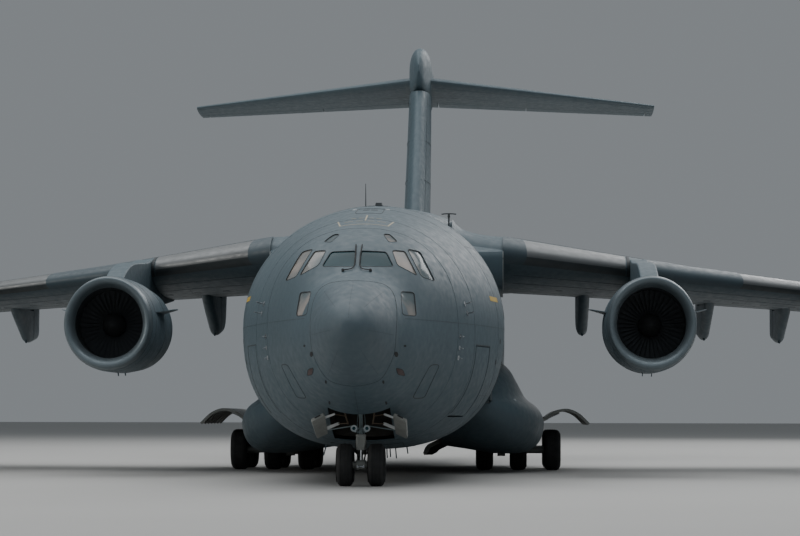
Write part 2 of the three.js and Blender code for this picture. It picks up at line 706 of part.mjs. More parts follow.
// Brackets and knuckles of the cargo door's hinge: side is -1 ahead of the hinge and 1 behind it.
const cargoDoorBrackets = (side, foot) =>
  [-1, 1].map((hand) => {
    const { y, z, radius, x, length } = CARGO_DOOR_HINGE;
    const ends = [hand * (x + (side * TOUCH) / 2), hand * (x + side * length)];
    const outline = [
      [y + side * 30, foot],
      [y + side * 120, foot],
      [y + side * 120, z + radius],
      [y, z + radius],
      [y, z - radius],
      [y + side * 30, z - 2 * radius],
    ];
    return join(
      rod([ends[0], y, z], [ends[1], y, z], radius),
      prism("x", outline, ...inOrder(...ends)),
    );
  });
add("cargo_door", join(aftShell.intersect(doorSpace(0)), ...cargoDoorBrackets(-1, 4420)), paint);
add("fuselage_aft", join(cut(aftShell, rampOpening, doorSpace(CLEAR)), ...cargoDoorBrackets(1, 4500)), paint);

// Floors: the hold's, and the flight deck with its panel and seats
const holdInside = body(9600, AFT_SEAM + 200, WALL + TOUCH);
const floorEnds = [9700, AFT_SEAM - CLEAR];
const floorLevels = [HOLD_FLOOR_Z - 180, HOLD_FLOOR_Z];
add("cargo_floor", holdInside.intersect(block([-3400, 3400], floorEnds, floorLevels)), deckPaint);
const DECK_Z = 3650;
const seat = (x) =>
  join(
    block([x - 260, x + 260], [4300, 4800], [DECK_Z - 10, DECK_Z + 480]),
    block([x - 260, x + 260], [4750, 4900], [DECK_Z + 400, DECK_Z + 1250]),
  );
const deckFloor = block([-3000, 3000], [2600, 9000], [DECK_Z - 120, DECK_Z]);
const deckFittings = join(
  block([-1500, 1500], [3150, 3700], [DECK_Z - 10, DECK_Z + 1150]),
  block([-220, 220], [3600, 4500], [DECK_Z - 10, DECK_Z + 560]),
  seat(-620),
  seat(620),
);
const GLASS_SPACE = 60; // between the shell and the fittings of the flight deck
add(
  "flight_deck",
  join(
    deckFloor.intersect(body(2460, 9100, NOSE_WALL + TOUCH)),
    deckFittings.intersect(body(2460, 9100, NOSE_WALL + GLASS_SPACE)),
  ),
  deckPaint,
);

// Glazing: one band close behind the window openings
const band = cut(
  body(2460, 6200, NOSE_WALL + TOUCH),
  body(2400, 6300, NOSE_WALL + GLASS_SPACE - 2 * TOUCH),
).intersect(block([-3000, 3000], [2470, 6190], [3850, 6400]));
add("flight_deck_glazing", band, glass);

// Tail
function bullet() {
  return loft(
    BULLET.map(({ y, halfWidth, top, bottom }) =>
      Array.from({ length: 16 }, (_, i) => {
        const angle = (i / 16) * 2 * Math.PI;
        const [middle, half] = [(top + bottom) / 2, (top - bottom) / 2];
        const [c, s] = [Math.cos(angle), Math.sin(angle)];
        const power = s < 0 ? 0.35 : 0.9;
        const round = (part) => Math.sign(part) * Math.abs(part) ** power;
        return [halfWidth * round(c), y, middle + half * round(s)];
      }),
    ),
  );
}
const finCove = (z) => coveEnd(finAt(z), RUDDER_FRACTION, RUDDER_CLEAR);
const finStations = [
  { z: FIN[0].z, end: 1 },
  { z: RUDDERS[0].z0 - RUDDER_GAP - 1, end: 1 },
  { z: RUDDERS[0].z0 - RUDDER_GAP, end: finCove(RUDDERS[0].z0) },
  { z: RUDDERS[1].z1 + RUDDER_GAP, end: finCove(RUDDERS[1].z1) },
  { z: RUDDERS[1].z1 + RUDDER_GAP + 1, end: 1 },
  { z: FIN[1].z, end: 1 },
];
const tailBody = body(AFT_SEAM, 49300, -TOUCH);
add(
  "fin",
  cut(loft(finStations.map(({ z, end }) => fixedRing(finAt(z), end))), tailBody),
  paint,
);
const rudderLine = FIN.map(({ z }) => foilPoint(finAt(z), RUDDER_FRACTION, 0));
RUDDERS.forEach(({ name, z0, z1 }, i) => {
  const panel = loft([z0, z1].map((z) => controlRing(finAt(z), RUDDER_FRACTION)));
  const [edge, away] = [[z0, -1], [z1, 1]][i];
  const pin = hingePin(rudderLine, 2, edge - away * 4 * PIN_RADIUS, edge + away * RUDDER_GAP);
  add(`rudder_${name}`, join(panel, pin), paint);
});

const tailCove = (x) => coveEnd(stabiliserAt(x), ELEVATOR_FRACTION);
const tailStations = [
  { x: 0, end: 1 },
  { x: ELEVATORS[0].x0 - END_GAP - 1, end: 1 },
  { x: ELEVATORS[0].x0 - END_GAP, end: tailCove(ELEVATORS[0].x0) },
  { x: ELEVATORS[1].x1 + END_GAP, end: tailCove(ELEVATORS[1].x1) },
  { x: ELEVATORS[1].x1 + END_GAP + 1, end: 1 },
  { x: STABILISER[1].x, end: 1 },
];
const tailHalf = (side) => {
  const rings = tailStations.map(({ x, end }) => fixedRing(stabiliserAt(x), end));
  return loft(rings.map((ring) => ring.map(([x, y, z]) => [side * x, y, z])));
};
add("stabiliser", join(bullet(), tailHalf(1), tailHalf(-1)), paint);
const elevatorLine = STABILISER.map(({ x }) => foilPoint(stabiliserAt(x), ELEVATOR_FRACTION, 0));
ELEVATORS.forEach(({ name, x0, x1 }, i) => {
  const panel = loft([x0, x1].map((x) => controlRing(stabiliserAt(x), ELEVATOR_FRACTION)));
  const [edge, away] = [[x0, -1], [x1, 1]][i];
  const pin = hingePin(elevatorLine, 0, edge - away * 4 * PIN_RADIUS, edge + away * END_GAP);
  addPair(`elevator_${name}`, join(panel, pin), paint);
});

// Engines, each at the origin of its intake lip
const nacelleShape = (grow = 0) => {
  const ends = { 0: -grow, [NACELLE_END]: grow };
  const wall = NACELLE.map(({ y, r, side }) => [r + side * grow, y + (ends[y] ?? 0)]);
  return turned("y", [...wall, wall[0]], [0, 0, 0], NACELLE_SIDES);
};
const coreShape = (grow = 0) => {
  const cowl = CORE.map(({ y, r }) => [r + grow, y]);
  return turned("y", [[0, CORE[0].y], ...cowl, [0, CORE.at(-1).y + grow]], [0, 0, 0], ROUND_SIDES);
};

// Fins on the cowl, one on each side: the outline's points are y and the distance from the centre.
const STRAKE = {
  angle: 73,
  halfThickness: 15,
  outline: [[900, 1240], [2500, 1240], [2400, 1600], [1500, 1600]],
};
const strake = (side) =>
  prism("x", STRAKE.outline, -STRAKE.halfThickness, STRAKE.halfThickness).rotate([0, side * STRAKE.angle, 0]);
const nacelle = join(nacelleShape(), strake(1), strake(-1));

const core = coreShape();

const fanHub = turned(
  "y",
  [[0, 820], [210, 1040], [FAN.hub, FAN.y0], [FAN.hub, FAN.y1], [0, FAN.y1]],
  [0, 0, 0],
  FAN.blades,
);
const STAGGER = radians(34);
const blade = (i) => {
  const angle = ((i + 0.5) / FAN.blades) * 2 * Math.PI;
  const ring = (r, chord) => {
    const half = 12;
    const [c, s] = [Math.cos(STAGGER), Math.sin(STAGGER)];
    return [[-half, -chord], [half, -chord], [half, chord], [-half, chord]].map(([across, along]) => {
      const side = across * c + along * s;
      const y = (FAN.y0 + FAN.y1) / 2 + along * c - across * s;
      return [side * Math.cos(angle) + r * Math.sin(angle), y, -side * Math.sin(angle) + r * Math.cos(angle)];
    });
  };
  return loft([ring(FAN.hub - 70, 95), ring(FAN.tip - 25, 165)]);
};
const fan = join(fanHub, ...Array.from({ length: FAN.blades }, (_, i) => blade(i)));

// Pylon outline from the intake lip's centre: over the leading edge, back under the wing and down to the core
const PYLON_HALF_WIDTH = 260;
function pylon({ x, lipY, z }) {
  const leading = wingAt(x);
  const [leY, leZ] = [leading.leY - lipY, leading.leZ - z];
  const back = foilPoint(leading, 0.6, -foilHalf(0.6, leading.thick));
  const [backY, backZ] = [back[1] - lipY, back[2] - z];
  const outline = [
    [1000, 1250],
    [2000, 1600],
    [3200, leZ - 40],
    [leY - 900, leZ + 150],
    [leY + 150, leZ + 300],
    [leY + 1000, leZ + 340],
    [leY + 1100, leZ],
    [backY, backZ + 200],
    [backY, backZ - 40],
    [leY + 900, 760],
    [5900, 560],
    [2600, 600],
    [2600, 1100],
    [1000, 1100],
  ];
  const placed = outline.map(([u, v]) => [u + lipY, v + z]);
  const raw = prism("x", placed, x - PYLON_HALF_WIDTH, x + PYLON_HALF_WIDTH);
  const moved = (shape) => shape.translate([x, lipY, z]);
  const insideNacelle = block([-300, 300], [900, 2560], [0, 1250]);
  return cut(raw, wingClearance, ...[nacelleShape(TOUCH), coreShape(TOUCH), insideNacelle].map(moved));
}
const wingClearance = wing(TOUCH);
ENGINES.forEach((engine) => {
  const position = [engine.x, engine.lipY, engine.z];
  addPair(`nacelle_${engine.name}`, nacelle, paint, position);
  addPair(`engine_core_${engine.name}`, core, bareMetal, position);
  addPair(`fan_${engine.name}`, fan, bladeMetal, position);
  addPair(`pylon_${engine.name}`, pylon(engine), paint);
});

// Sponsons: the outline of the widest section, drawn in towards an anchor inside the body fore and aft
const SPONSON_OUTLINE = [
  [3150, 3500],
  [3560, 3150],
  [3830, 2700],
  [4080, 2250],
  [4440, 1960],
  [4620, 1640],
  [4640, 1320],
  [4500, 900],
  [4180, 630],
  [3700, 545],
  [3000, 570],
  [2300, 680],
  [1500, 800],
  [1500, 2400],
];
const SPONSON_ANCHOR = [1900, 2300];
const SPONSON = table("y fullness", [
  [16800, 0.25],
  [18200, 0.72],
  [19800, 0.93],
  [21800, 1],
  [28300, 1],
  [29900, 0.93],
  [31200, 0.75],
  [31600, 0.3],
]);
const sponsonSolid = loft(
  SPONSON.map(({ y, fullness }) =>
    SPONSON_OUTLINE.map(([x, z]) => [
      SPONSON_ANCHOR[0] + (x - SPONSON_ANCHOR[0]) * fullness,
      y,
      SPONSON_ANCHOR[1] + (z - SPONSON_ANCHOR[1]) * fullness,
    ]),
  ),
);
const well = block([WELL.x0, WELL.x1], [WELL.y0, WELL.y1], [0, WELL.ceiling]);
addPair("sponson", cut(sponsonSolid, body(FORWARD_SEAM, 36000, -TOUCH), well), paint);

// Wheels: the profile of one wheel about its axle
const wheelProfile = ({ radius, halfWidth, axle, rim }, centre) =>
  [
    [axle * SHOULDER, -0.5],
    [rim * 1.6, -1],
    [radius, -0.55],
    [radius, 0.55],
    [rim * 1.6, 1],
    [axle * SHOULDER, 0.5],
  ].map(([r, share]) => [r, centre + share * halfWidth]);

// Wheels on one axle, which is thicker on both sides of the block that carries it
function wheelSet(wheel, centres, carrier, end) {
  const [left, right] = [carrier.x - carrier.half - TOUCH, carrier.x + carrier.half + TOUCH];
  const thick = wheel.axle * SHOULDER;
  const [first, last] = [centres[0] - end, centres.at(-1) + end];
  const profile = [
    [0, first],
    [thick, first],
    ...centres.filter((x) => x < left).flatMap((x) => wheelProfile(wheel, x)),
    [thick, left],
    [wheel.axle, left],
    [wheel.axle, right],
    [thick, right],
    ...centres.filter((x) => x > right).flatMap((x) => wheelProfile(wheel, x)),
    [thick, last],
    [0, last],
  ];
  return turned("x", profile, [0, 0, 0], ROUND_SIDES);
}
const mainWheels = wheelSet(MAIN_WHEEL, MAIN_WHEEL_X, { x: MAIN_LEG_X, half: LEG_BLOCK[0] }, 210);
MAIN_ROWS.forEach(({ name, y }) =>
  addPair(`main_wheels_${name}`, mainWheels, rubber, [0, y, MAIN_WHEEL.radius]),
);

// Main gear legs: one for each row, on a shared beam under the well's ceiling
const BORE_GAP = 12; // between an axle and the hole it turns in
const bore = (x, halfLength, y, { radius, axle }) =>
  rod([x - halfLength, y, radius], [x + halfLength, y, radius], axle + BORE_GAP, ROUND_SIDES);
// The block at the foot of a leg, with the hole for its axle
function axleBlock(centre, halves, wheel) {
  const [xs, ys, zs] = centre.map((place, i) => [place - halves[i], place + halves[i]]);
  return cut(block(xs, ys, zs), bore(centre[0], 2 * halves[0], centre[1], wheel));
}
function mainLeg(y) {
  return join(
    axleBlock([MAIN_LEG_X, y, MAIN_WHEEL.radius], LEG_BLOCK, MAIN_WHEEL),
    rod([MAIN_LEG_X, y, MAIN_WHEEL.radius + 150], [MAIN_LEG_X, y, 1400], 105),
    rod([MAIN_LEG_X, y, 1240], [MAIN_LEG_X, y, WELL.ceiling - TOUCH], 165, 14),
    rod([MAIN_LEG_X, y, 1330], [MAIN_LEG_X, (MAIN_ROWS[0].y + MAIN_ROWS[1].y) / 2, 1840], 60, 8),
  );
}
const gearBeam = block([MAIN_LEG_X - 150, MAIN_LEG_X + 150], [23200, 26570], [1740, WELL.ceiling - TOUCH]);
addPair("main_gear_legs", join(gearBeam, ...MAIN_ROWS.map(({ y }) => mainLeg(y))), gearPaint);

// Main gear doors: the arched outer door over the outer wheels, and the inner door under the belly
const OUTER_DOOR = { y0: 22420, y1: 27430, thickness: 90 };
const OUTER_DOOR_ARC = [[4690, 1660], [4960, 1840], [5360, 1930], [5740, 1800], [6090, 1480]];
const OUTER_DOOR_MIDDLE = 5380;
const outerDoorInside = OUTER_DOOR_ARC.map(([x, z]) => [
  x - (x - OUTER_DOOR_MIDDLE) * 0.06,
  z - OUTER_DOOR.thickness,
]).reverse();
// Brackets that hold the door on the end walls of the well
const OUTER_DOOR_BRACKET = [
  [4330, 1600],
  [4330, 1480],
  [4730, 1565],
  [4960, 1745],
  [4960, 1790],
  [4700, 1640],
];
const OUTER_DOOR_BRACKET_ENDS = [
  [WELL.y0 + TOUCH, 22495],
  [27305, WELL.y1 - TOUCH],
];
const outerDoorBrackets = OUTER_DOOR_BRACKET_ENDS.map((ends) => prism("y", OUTER_DOOR_BRACKET, ...ends));
const outerDoorPanel = prism("y", [...OUTER_DOOR_ARC, ...outerDoorInside], OUTER_DOOR.y0, OUTER_DOOR.y1);
addPair("main_door_outer", join(outerDoorPanel, ...outerDoorBrackets), gearPaint);
const INNER_DOOR = [[2290, 1400], [910, 570], [950, 505], [2330, 1335]];
const innerDoorArms = [23000, 24850, 26700].map((y) => block([2000, 2310], [y, y + 80], [1365, 1420]));
const innerDoor = join(prism("y", INNER_DOOR, 22600, 27200), ...innerDoorArms);
addPair("main_door_inner", cut(innerDoor, body(FORWARD_SEAM, 36000, -TOUCH)), gearPaint);

// Nose gear: the fixed leg in its bay, the part that steers, and the wheels
const noseLamp = (x) => rod([x, NOSE_GEAR_Y - 150, 1380], [x, NOSE_GEAR_Y - 260, 1380], 80);
const bayRod = (y, z, radius) =>
  rod([-NOSE_BAY.halfWidth + TOUCH, y, z], [NOSE_BAY.halfWidth - TOUCH, y, z], radius);
add(
  "nose_gear_leg",
  join(
    rod([0, NOSE_GEAR_Y, 1240], [0, NOSE_GEAR_Y, 2400], 125, 14),
    bayRod(NOSE_GEAR_Y, 2330, 90),
    rod([0, NOSE_GEAR_Y - 40, 1430], [0, NOSE_BAY.y0 + 60, 2150], 55, 8),
    bayRod(NOSE_BAY.y0 + 90, 2150, 55),
    block([-250, 250], [NOSE_GEAR_Y - 170, NOSE_GEAR_Y - 90], [1340, 1420]),
    noseLamp(-155),
    noseLamp(155),
  ),
  gearPaint,
);
add(
  "nose_steering",
  join(
    rod([0, NOSE_GEAR_Y, 860], [0, NOSE_GEAR_Y, 1240 - TOUCH], 150, 16),
    rod([0, NOSE_GEAR_Y, 600], [0, NOSE_GEAR_Y, 900], 85, 14),
    axleBlock([0, NOSE_GEAR_Y, NOSE_WHEEL.radius], NOSE_BLOCK, NOSE_WHEEL),
    rod([0, NOSE_GEAR_Y + 120, 560], [0, NOSE_GEAR_Y + 300, 780], 40, 8),
    rod([0, NOSE_GEAR_Y + 300, 770], [0, NOSE_GEAR_Y + 120, 960], 40, 8),
  ),
  gearPaint,
);
const noseWheels = wheelSet(NOSE_WHEEL, [-NOSE_WHEEL_X, NOSE_WHEEL_X], { x: 0, half: NOSE_BLOCK[0] }, 120);
add("nose_wheels", noseWheels, rubber, { position: [0, NOSE_GEAR_Y, NOSE_WHEEL.radius] });

// Nose gear doors, open and splayed: the hinge edge first, each corner as x, y and z
const NOSE_DOOR = [
  [820, 3960, 1735],
  [835, 5190, 1293],
  [1106, 5290, 1169],
  [1132, 3970, 1580],
];
const NOSE_DOOR_ARMS = table("y z", [
  [4200, 1590],
  [4950, 1320],
]);
// Each arm runs inwards from the door, then up inside the bay to its side wall.
const doorArm = ({ y, z }) => {
  const wall = NOSE_BAY.halfWidth - TOUCH;
  const outline = [
    [1000, 0],
    [560, 40],
    [560, 420],
    [wall, 420],
    [wall, 340],
    [640, 340],
    [640, 120],
    [1000, 70],
  ];
  return prism("y", outline.map(([x, rise]) => [x, z + rise]), y - 30, y + 30);
};
const noseDoor = join(
  loft([NOSE_DOOR, NOSE_DOOR.map(([x, y, z]) => [x - 20, y, z - 45])]),
  ...NOSE_DOOR_ARMS.map(doorArm),
);
addPair("nose_door", noseDoor, gearPaint);

export default aircraft;
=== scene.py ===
# Looks of the half-scale transport plane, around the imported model.
# Sizes and places are the full-size aircraft's, in millimetres, as in the CAD source: +X is the
# port side, +Y runs aft from the nose, +Z is up. place() turns them into the model's metres.
import math

import bmesh
import bpy
from mathutils import Matrix, Vector


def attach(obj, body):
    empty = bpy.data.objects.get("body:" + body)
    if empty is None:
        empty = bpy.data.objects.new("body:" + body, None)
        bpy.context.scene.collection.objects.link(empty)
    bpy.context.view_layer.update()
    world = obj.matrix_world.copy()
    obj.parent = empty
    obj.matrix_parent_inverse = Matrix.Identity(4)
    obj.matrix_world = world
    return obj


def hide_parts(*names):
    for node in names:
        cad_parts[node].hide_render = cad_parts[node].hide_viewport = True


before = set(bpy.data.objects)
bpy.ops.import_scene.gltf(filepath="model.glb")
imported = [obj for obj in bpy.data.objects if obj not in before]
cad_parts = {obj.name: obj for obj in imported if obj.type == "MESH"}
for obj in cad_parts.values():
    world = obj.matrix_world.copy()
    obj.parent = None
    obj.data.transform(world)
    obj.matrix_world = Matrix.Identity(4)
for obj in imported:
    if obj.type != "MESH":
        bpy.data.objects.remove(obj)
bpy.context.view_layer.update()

FULL = 2000.0  # full-size millimetres in a metre of the model
MIDDLE_Y = 26520.0
HANDS = (("port", 1), ("starboard", -1))
SIDES = (1, -1)


def place(point):
    x, y, z = point
    return (x / FULL, (y - MIDDLE_Y) / FULL, z / FULL)


# Materials


def new_material(name, color, roughness, metallic=0.0, **sockets):
    material = bpy.data.materials.new(name)
    material.use_nodes = True
    shader = material.node_tree.nodes["Principled BSDF"]
    shader.inputs["Base Color"].default_value = (*color, 1)
    shader.inputs["Roughness"].default_value = roughness
    shader.inputs["Metallic"].default_value = metallic
    for socket, value in sockets.items():
        shader.inputs[socket.replace("_", " ")].default_value = value
    return material, material.node_tree, shader


def noise(tree, scale, detail=4.0, stretch=(1, 1, 1)):
    nodes, links = tree.nodes, tree.links
    coordinates = nodes.new("ShaderNodeTexCoord")
    mapping = nodes.new("ShaderNodeMapping")
    mapping.inputs["Scale"].default_value = stretch
    texture = nodes.new("ShaderNodeTexNoise")
    texture.inputs["Scale"].default_value = scale
    texture.inputs["Detail"].default_value = detail
    links.new(coordinates.outputs["Object"], mapping.inputs["Vector"])
    links.new(mapping.outputs["Vector"], texture.inputs["Vector"])
    return texture.outputs["Fac"]


def spread(tree, value, low, high, out_low, out_high):
    node = tree.nodes.new("ShaderNodeMapRange")
    for socket, number in zip(("From Min", "From Max", "To Min", "To Max"), (low, high, out_low, out_high)):
        node.inputs[socket].default_value = number
    tree.links.new(value, node.inputs["Value"])
    return node.outputs["Result"]


def mix(tree, share, first, second):
    node = tree.nodes.new("ShaderNodeMix")
    node.data_type = "RGBA"
    colours = [socket for socket in node.inputs if socket.type == "RGBA"]
    for socket, colour in zip(colours, (first, second)):
        if isinstance(colour, tuple):
            socket.default_value = (*colour, 1)
        else:
            tree.links.new(colour, socket)
    tree.links.new(share, node.inputs["Factor"])
    return [socket for socket in node.outputs if socket.type == "RGBA"][0]


PATCH_SCALE, STREAK_SCALE, GLOSS_SCALE = 0.7, 3.5, 11.0  # repeats in a metre of the model
GRAIN_DEPTH = 0.004


def worn(name, color, dark, roughness, metallic=0.0, grain=60.0, bump=0.05, stretch=(1, 1, 1), soiling=0.5):
    """A finish with large soft patches, streaks, a fine grain and uneven gloss."""
    material, tree, shader = new_material(name, color, roughness, metallic)
    patches = spread(tree, noise(tree, PATCH_SCALE, 5.0), 0.35, 0.65, 0.0, 0.6)
    streaks = spread(tree, noise(tree, STREAK_SCALE, 6.0, stretch), 0.48, 0.85, 0.0, soiling)
    base = mix(tree, streaks, mix(tree, patches, color, tuple(c * 0.9 for c in color)), dark)
    tree.links.new(base, shader.inputs["Base Color"])
    gloss = spread(tree, noise(tree, GLOSS_SCALE, 3.0), 0.3, 0.7, roughness - 0.09, roughness + 0.1)
    tree.links.new(gloss, shader.inputs["Roughness"])
    relief = tree.nodes.new("ShaderNodeBump")
    relief.inputs["Strength"].default_value = bump
    relief.inputs["Distance"].default_value = GRAIN_DEPTH
    tree.links.new(noise(tree, grain, 2.0, stretch), relief.inputs["Height"])
    tree.links.new(relief.outputs["Normal"], shader.inputs["Normal"])
    return material


PAINT = (0.062, 0.098, 0.119)
PAINT_DARK = (0.045, 0.06, 0.07)
MATERIALS = {
    "paint": worn("airframe_paint", PAINT, PAINT_DARK, 0.55, bump=0.008, stretch=(1.0, 0.45, 0.4),
                  soiling=0.14),
    "radome": worn("radome_paint", (0.068, 0.1, 0.12), PAINT_DARK, 0.58, grain=30.0, bump=0.006, soiling=0.1),
    "glove": worn("leading_edge_paint", (0.05, 0.076, 0.092), PAINT_DARK, 0.5, grain=40.0, bump=0.02),
    "seam": worn("seam_sealant", (0.03, 0.038, 0.043), (0.018, 0.02, 0.022), 0.7),
    "faint": worn("lap_seam", (0.048, 0.071, 0.086), PAINT_DARK, 0.62),
    "metal": worn("leading_edge_metal", (0.19, 0.2, 0.205), (0.11, 0.115, 0.12), 0.45, 0.6, grain=25.0,
                  stretch=(0.12, 1.0, 1.0)),
    # a darker copy of the leading-edge metal for the slats' lower face: painted shade
    "slat_metal_shaded": worn("slat_underside_painted_shade", (0.075, 0.085, 0.09), (0.04, 0.045, 0.05), 0.5, 0.5, grain=25.0),
    "strut": worn("strut_paint", (0.15, 0.2, 0.215), (0.08, 0.1, 0.105), 0.42, grain=50.0),
    "lamp_rim": worn("lamp_rim_metal", (0.4, 0.45, 0.47), (0.25, 0.28, 0.3), 0.35, 0.5),
    "white": worn("arm_paint", (0.6, 0.62, 0.62), (0.3, 0.3, 0.28), 0.45, grain=50.0),
    "brown": worn("rod_finish", (0.12, 0.09, 0.06), (0.06, 0.045, 0.03), 0.5, 0.4),
    "lip": worn("intake_lip_metal", (0.14, 0.175, 0.195), (0.09, 0.11, 0.12), 0.42, 0.45, grain=20.0,
                bump=0.004),
    # near-black intake liner: painted shade of the unlit duct behind the throat
    "duct": worn("intake_liner_painted_shade", (0.022, 0.026, 0.03), (0.012, 0.014, 0.016), 0.75, grain=180.0, bump=0.12),
    "blade": worn("fan_blade_metal", (0.1, 0.11, 0.12), (0.055, 0.06, 0.065), 0.4, 0.5, grain=40.0),
    # near-black spinner: painted shade deep inside the intake
    "spinner": worn("spinner_painted_shade", (0.008, 0.009, 0.01), (0.005, 0.005, 0.006), 0.85, grain=60.0),
    "hot": worn("exhaust_metal", (0.2, 0.18, 0.165), (0.07, 0.065, 0.06), 0.42, 0.85, stretch=(1, 0.15, 1)),
    # near black: the real colour of wipers and static wicks, and painted shade on the guide vanes behind the
    # fan and in the nose door slots
    "dark": worn("black_parts_and_painted_shade", (0.018, 0.019, 0.021), (0.01, 0.01, 0.011), 0.8),
    "gear": worn("gear_paint", (0.26, 0.27, 0.255), (0.13, 0.13, 0.12), 0.45, grain=50.0,
                 stretch=(1, 1, 0.3)),
    "lining": worn("door_lining", (0.16, 0.14, 0.12), (0.07, 0.06, 0.05), 0.65, grain=40.0),
    # near-black lining of the nose gear bay: painted shade in the recess
    "bay": worn("bay_lining_painted_shade", (0.035, 0.032, 0.028), (0.018, 0.016, 0.014), 0.8, grain=40.0),
    "steel": worn("machined_steel", (0.42, 0.44, 0.46), (0.2, 0.2, 0.2), 0.3, 0.9, grain=80.0),
    "chrome": worn("chromed_piston", (0.78, 0.8, 0.82), (0.6, 0.6, 0.6), 0.14, 1.0, bump=0.01),
    "rubber": worn("tyre_rubber", (0.018, 0.019, 0.02), (0.035, 0.033, 0.03), 0.82, grain=140.0, bump=0.25),
    "brake": worn("brake_metal", (0.12, 0.11, 0.1), (0.04, 0.038, 0.036), 0.5, 0.7),
    "inside": worn("hold_lining", (0.3, 0.32, 0.3), (0.16, 0.17, 0.16), 0.7, grain=35.0),
    "floor_paint": worn("floor_paint", (0.14, 0.145, 0.15), (0.07, 0.07, 0.072), 0.62, bump=0.15),
    "seat": worn("seat_fabric", (0.05, 0.07, 0.08), (0.03, 0.035, 0.04), 0.9, grain=300.0, bump=0.4),
    "tan": worn("marking_tan", (0.42, 0.37, 0.27), (0.26, 0.23, 0.18), 0.6),
    "yellow": worn("marking_yellow", (0.5, 0.33, 0.04), (0.3, 0.2, 0.04), 0.55),
    "dark_red": worn("lamp_cover_red", (0.035, 0.007, 0.007), (0.018, 0.005, 0.005), 0.45, grain=30.0),
    "pale": worn("marking_grey", (0.3, 0.32, 0.32), (0.2, 0.21, 0.21), 0.6),
}


def glazing(name, color, transmission, roughness=0.06, reflection_tint=None):
    material, tree, shader = new_material(name, color, roughness, Transmission_Weight=transmission, IOR=1.28)
    haze = spread(tree, noise(tree, 14.0, 4.0), 0.3, 0.8, roughness, roughness + 0.1)
    tree.links.new(haze, shader.inputs["Roughness"])
    # patches of a second tint: a painted reflection on the side windows, a darker tone on the other glass
    reflection_and_tone_patches = spread(tree, noise(tree, 1.6, 3.0), 0.42, 0.66, 0.0, 1.0)
    tint = mix(tree, reflection_and_tone_patches, color, reflection_tint or tuple(0.8 * c for c in color))
    tree.links.new(tint, shader.inputs["Base Color"])
    return material


MATERIALS["pane"] = glazing("windscreen_glass", (0.01, 0.055, 0.07), 0.15, 0.05)
# side windows and portholes: pale grey-blue glass with pale warm patches, a painted reflection of the
# surroundings
MATERIALS["side_pane_reflection"] = glazing("side_window_painted_reflection", (0.12, 0.15, 0.16), 0.05, 0.05, (0.36, 0.32, 0.29))
MATERIALS["lens"] = glazing("lamp_glass", (0.75, 0.8, 0.82), 0.5, 0.1)
MATERIALS["red_lens"] = glazing("red_lamp_glass", (0.5, 0.02, 0.02), 0.3, 0.12)
MATERIALS["green_lens"] = glazing("green_lamp_glass", (0.02, 0.35, 0.12), 0.3, 0.12)


# Shapes: a shape is a list of points and a list of faces, in full-size millimetres.


def spaced(first, last, count):
    """Evenly spaced values from the first to the last."""
    return [first + (last - first) * k / count for k in range(count + 1)]


def turns(count):
    """Evenly spaced angles of a whole turn."""
    return [2 * math.pi * i / count for i in range(count)]


def signed_power(value, power):
    return math.copysign(abs(value) ** power, value)


def flipped(points):
    return [(b, a) for a, b in points]


def rectangle(a0, a1, b0, b1):
    return [(a0, b0), (a1, b0), (a1, b1), (a0, b1)]


def merged(*shapes):
    points, faces = [], []
    for more_points, more_faces in shapes:
        start = len(points)
        points += more_points
        faces += [tuple(i + start for i in face) for face in more_faces]
    return points, faces


def whole(shape):
    return merged(*shape) if isinstance(shape, list) else shape


def mirrored(shape, hand):
    points, faces = whole(shape)
    if hand > 0:
        return points, faces
    return [(-x, y, z) for x, y, z in points], [tuple(reversed(face)) for face in faces]


def moved(shape, offset):
    points, faces = whole(shape)
    return [tuple(a + b for a, b in zip(point, offset)) for point in points], faces


def turned_by(shape, axis, degrees, centre=(0, 0, 0)):
    matrix = Matrix.Rotation(math.radians(degrees), 3, axis)
    middle = Vector(centre)
    return [tuple(matrix @ (Vector(point) - middle) + middle) for point in shape[0]], shape[1]


def loft(rings, wrapped=False):
    count = len(rings[0])
    points = [tuple(point) for ring in rings for point in ring]
    faces = []
    for r in range(len(rings) - (0 if wrapped else 1)):
        near, far = r * count, (r + 1) % len(rings) * count
        for i in range(count):
            j = (i + 1) % count
            faces.append((near + i, near + j, far + j, far + i))
    if not wrapped:
        last = (len(rings) - 1) * count
        faces.append(tuple(reversed(range(count))))
        faces.append(tuple(range(last, last + count)))
    return points, faces


def prism(axis, outline, start, end):
    order = {"x": (2, 0, 1), "y": (0, 2, 1), "z": (0, 1, 2)}[axis]
    rings = []
    for level in (start, end):
        ring = []
        for u, v in outline:
            values = (u, v, level)
            ring.append(tuple(values[i] for i in order))
        rings.append(ring)
    return loft(rings)


def block(xs, ys, zs):
    return prism("z", rectangle(*xs, *ys), *zs)


def circle(centre, axis, radius, steps):
    forward = Vector(axis).normalized()
    first = forward.cross(Vector((0, 0, 1)))
    if first.length < 0.01:
        first = Vector((1, 0, 0))
    first.normalize()
    second = forward.cross(first)
    middle = Vector(centre)
    return [tuple(middle + radius * (math.cos(a) * first + math.sin(a) * second)) for a in turns(steps)]


def rod(start, end, radius, steps=24, end_radius=None):
    axis = Vector(end) - Vector(start)
    last = radius if end_radius is None else end_radius
    return loft([circle(start, axis, radius, steps), circle(end, axis, last, steps)])


def hose(path, radius, steps=10):
    """A round bar along a path of points."""
    points = [Vector(point) for point in path]
    rings = []
    for i, point in enumerate(points):
        along = points[min(i + 1, len(points) - 1)] - points[max(i - 1, 0)]
        rings.append(circle(point, along, radius, steps))
    return loft(rings)


def spun(axis, profile, centre=(0, 0, 0), steps=64, wrapped=False):
    """A turned body: the profile's points are the radius and the place on the axis."""
    rings = []
    for radius, along in profile:
        ring = []
        for angle in turns(steps):
            u, v = radius * math.cos(angle), radius * math.sin(angle)
            local = (along, u, v) if axis == "x" else (u, along, v) if axis == "y" else (u, v, along)
            ring.append(tuple(a + b for a, b in zip(local, centre)))
        rings.append(ring)
    return loft(rings, wrapped)


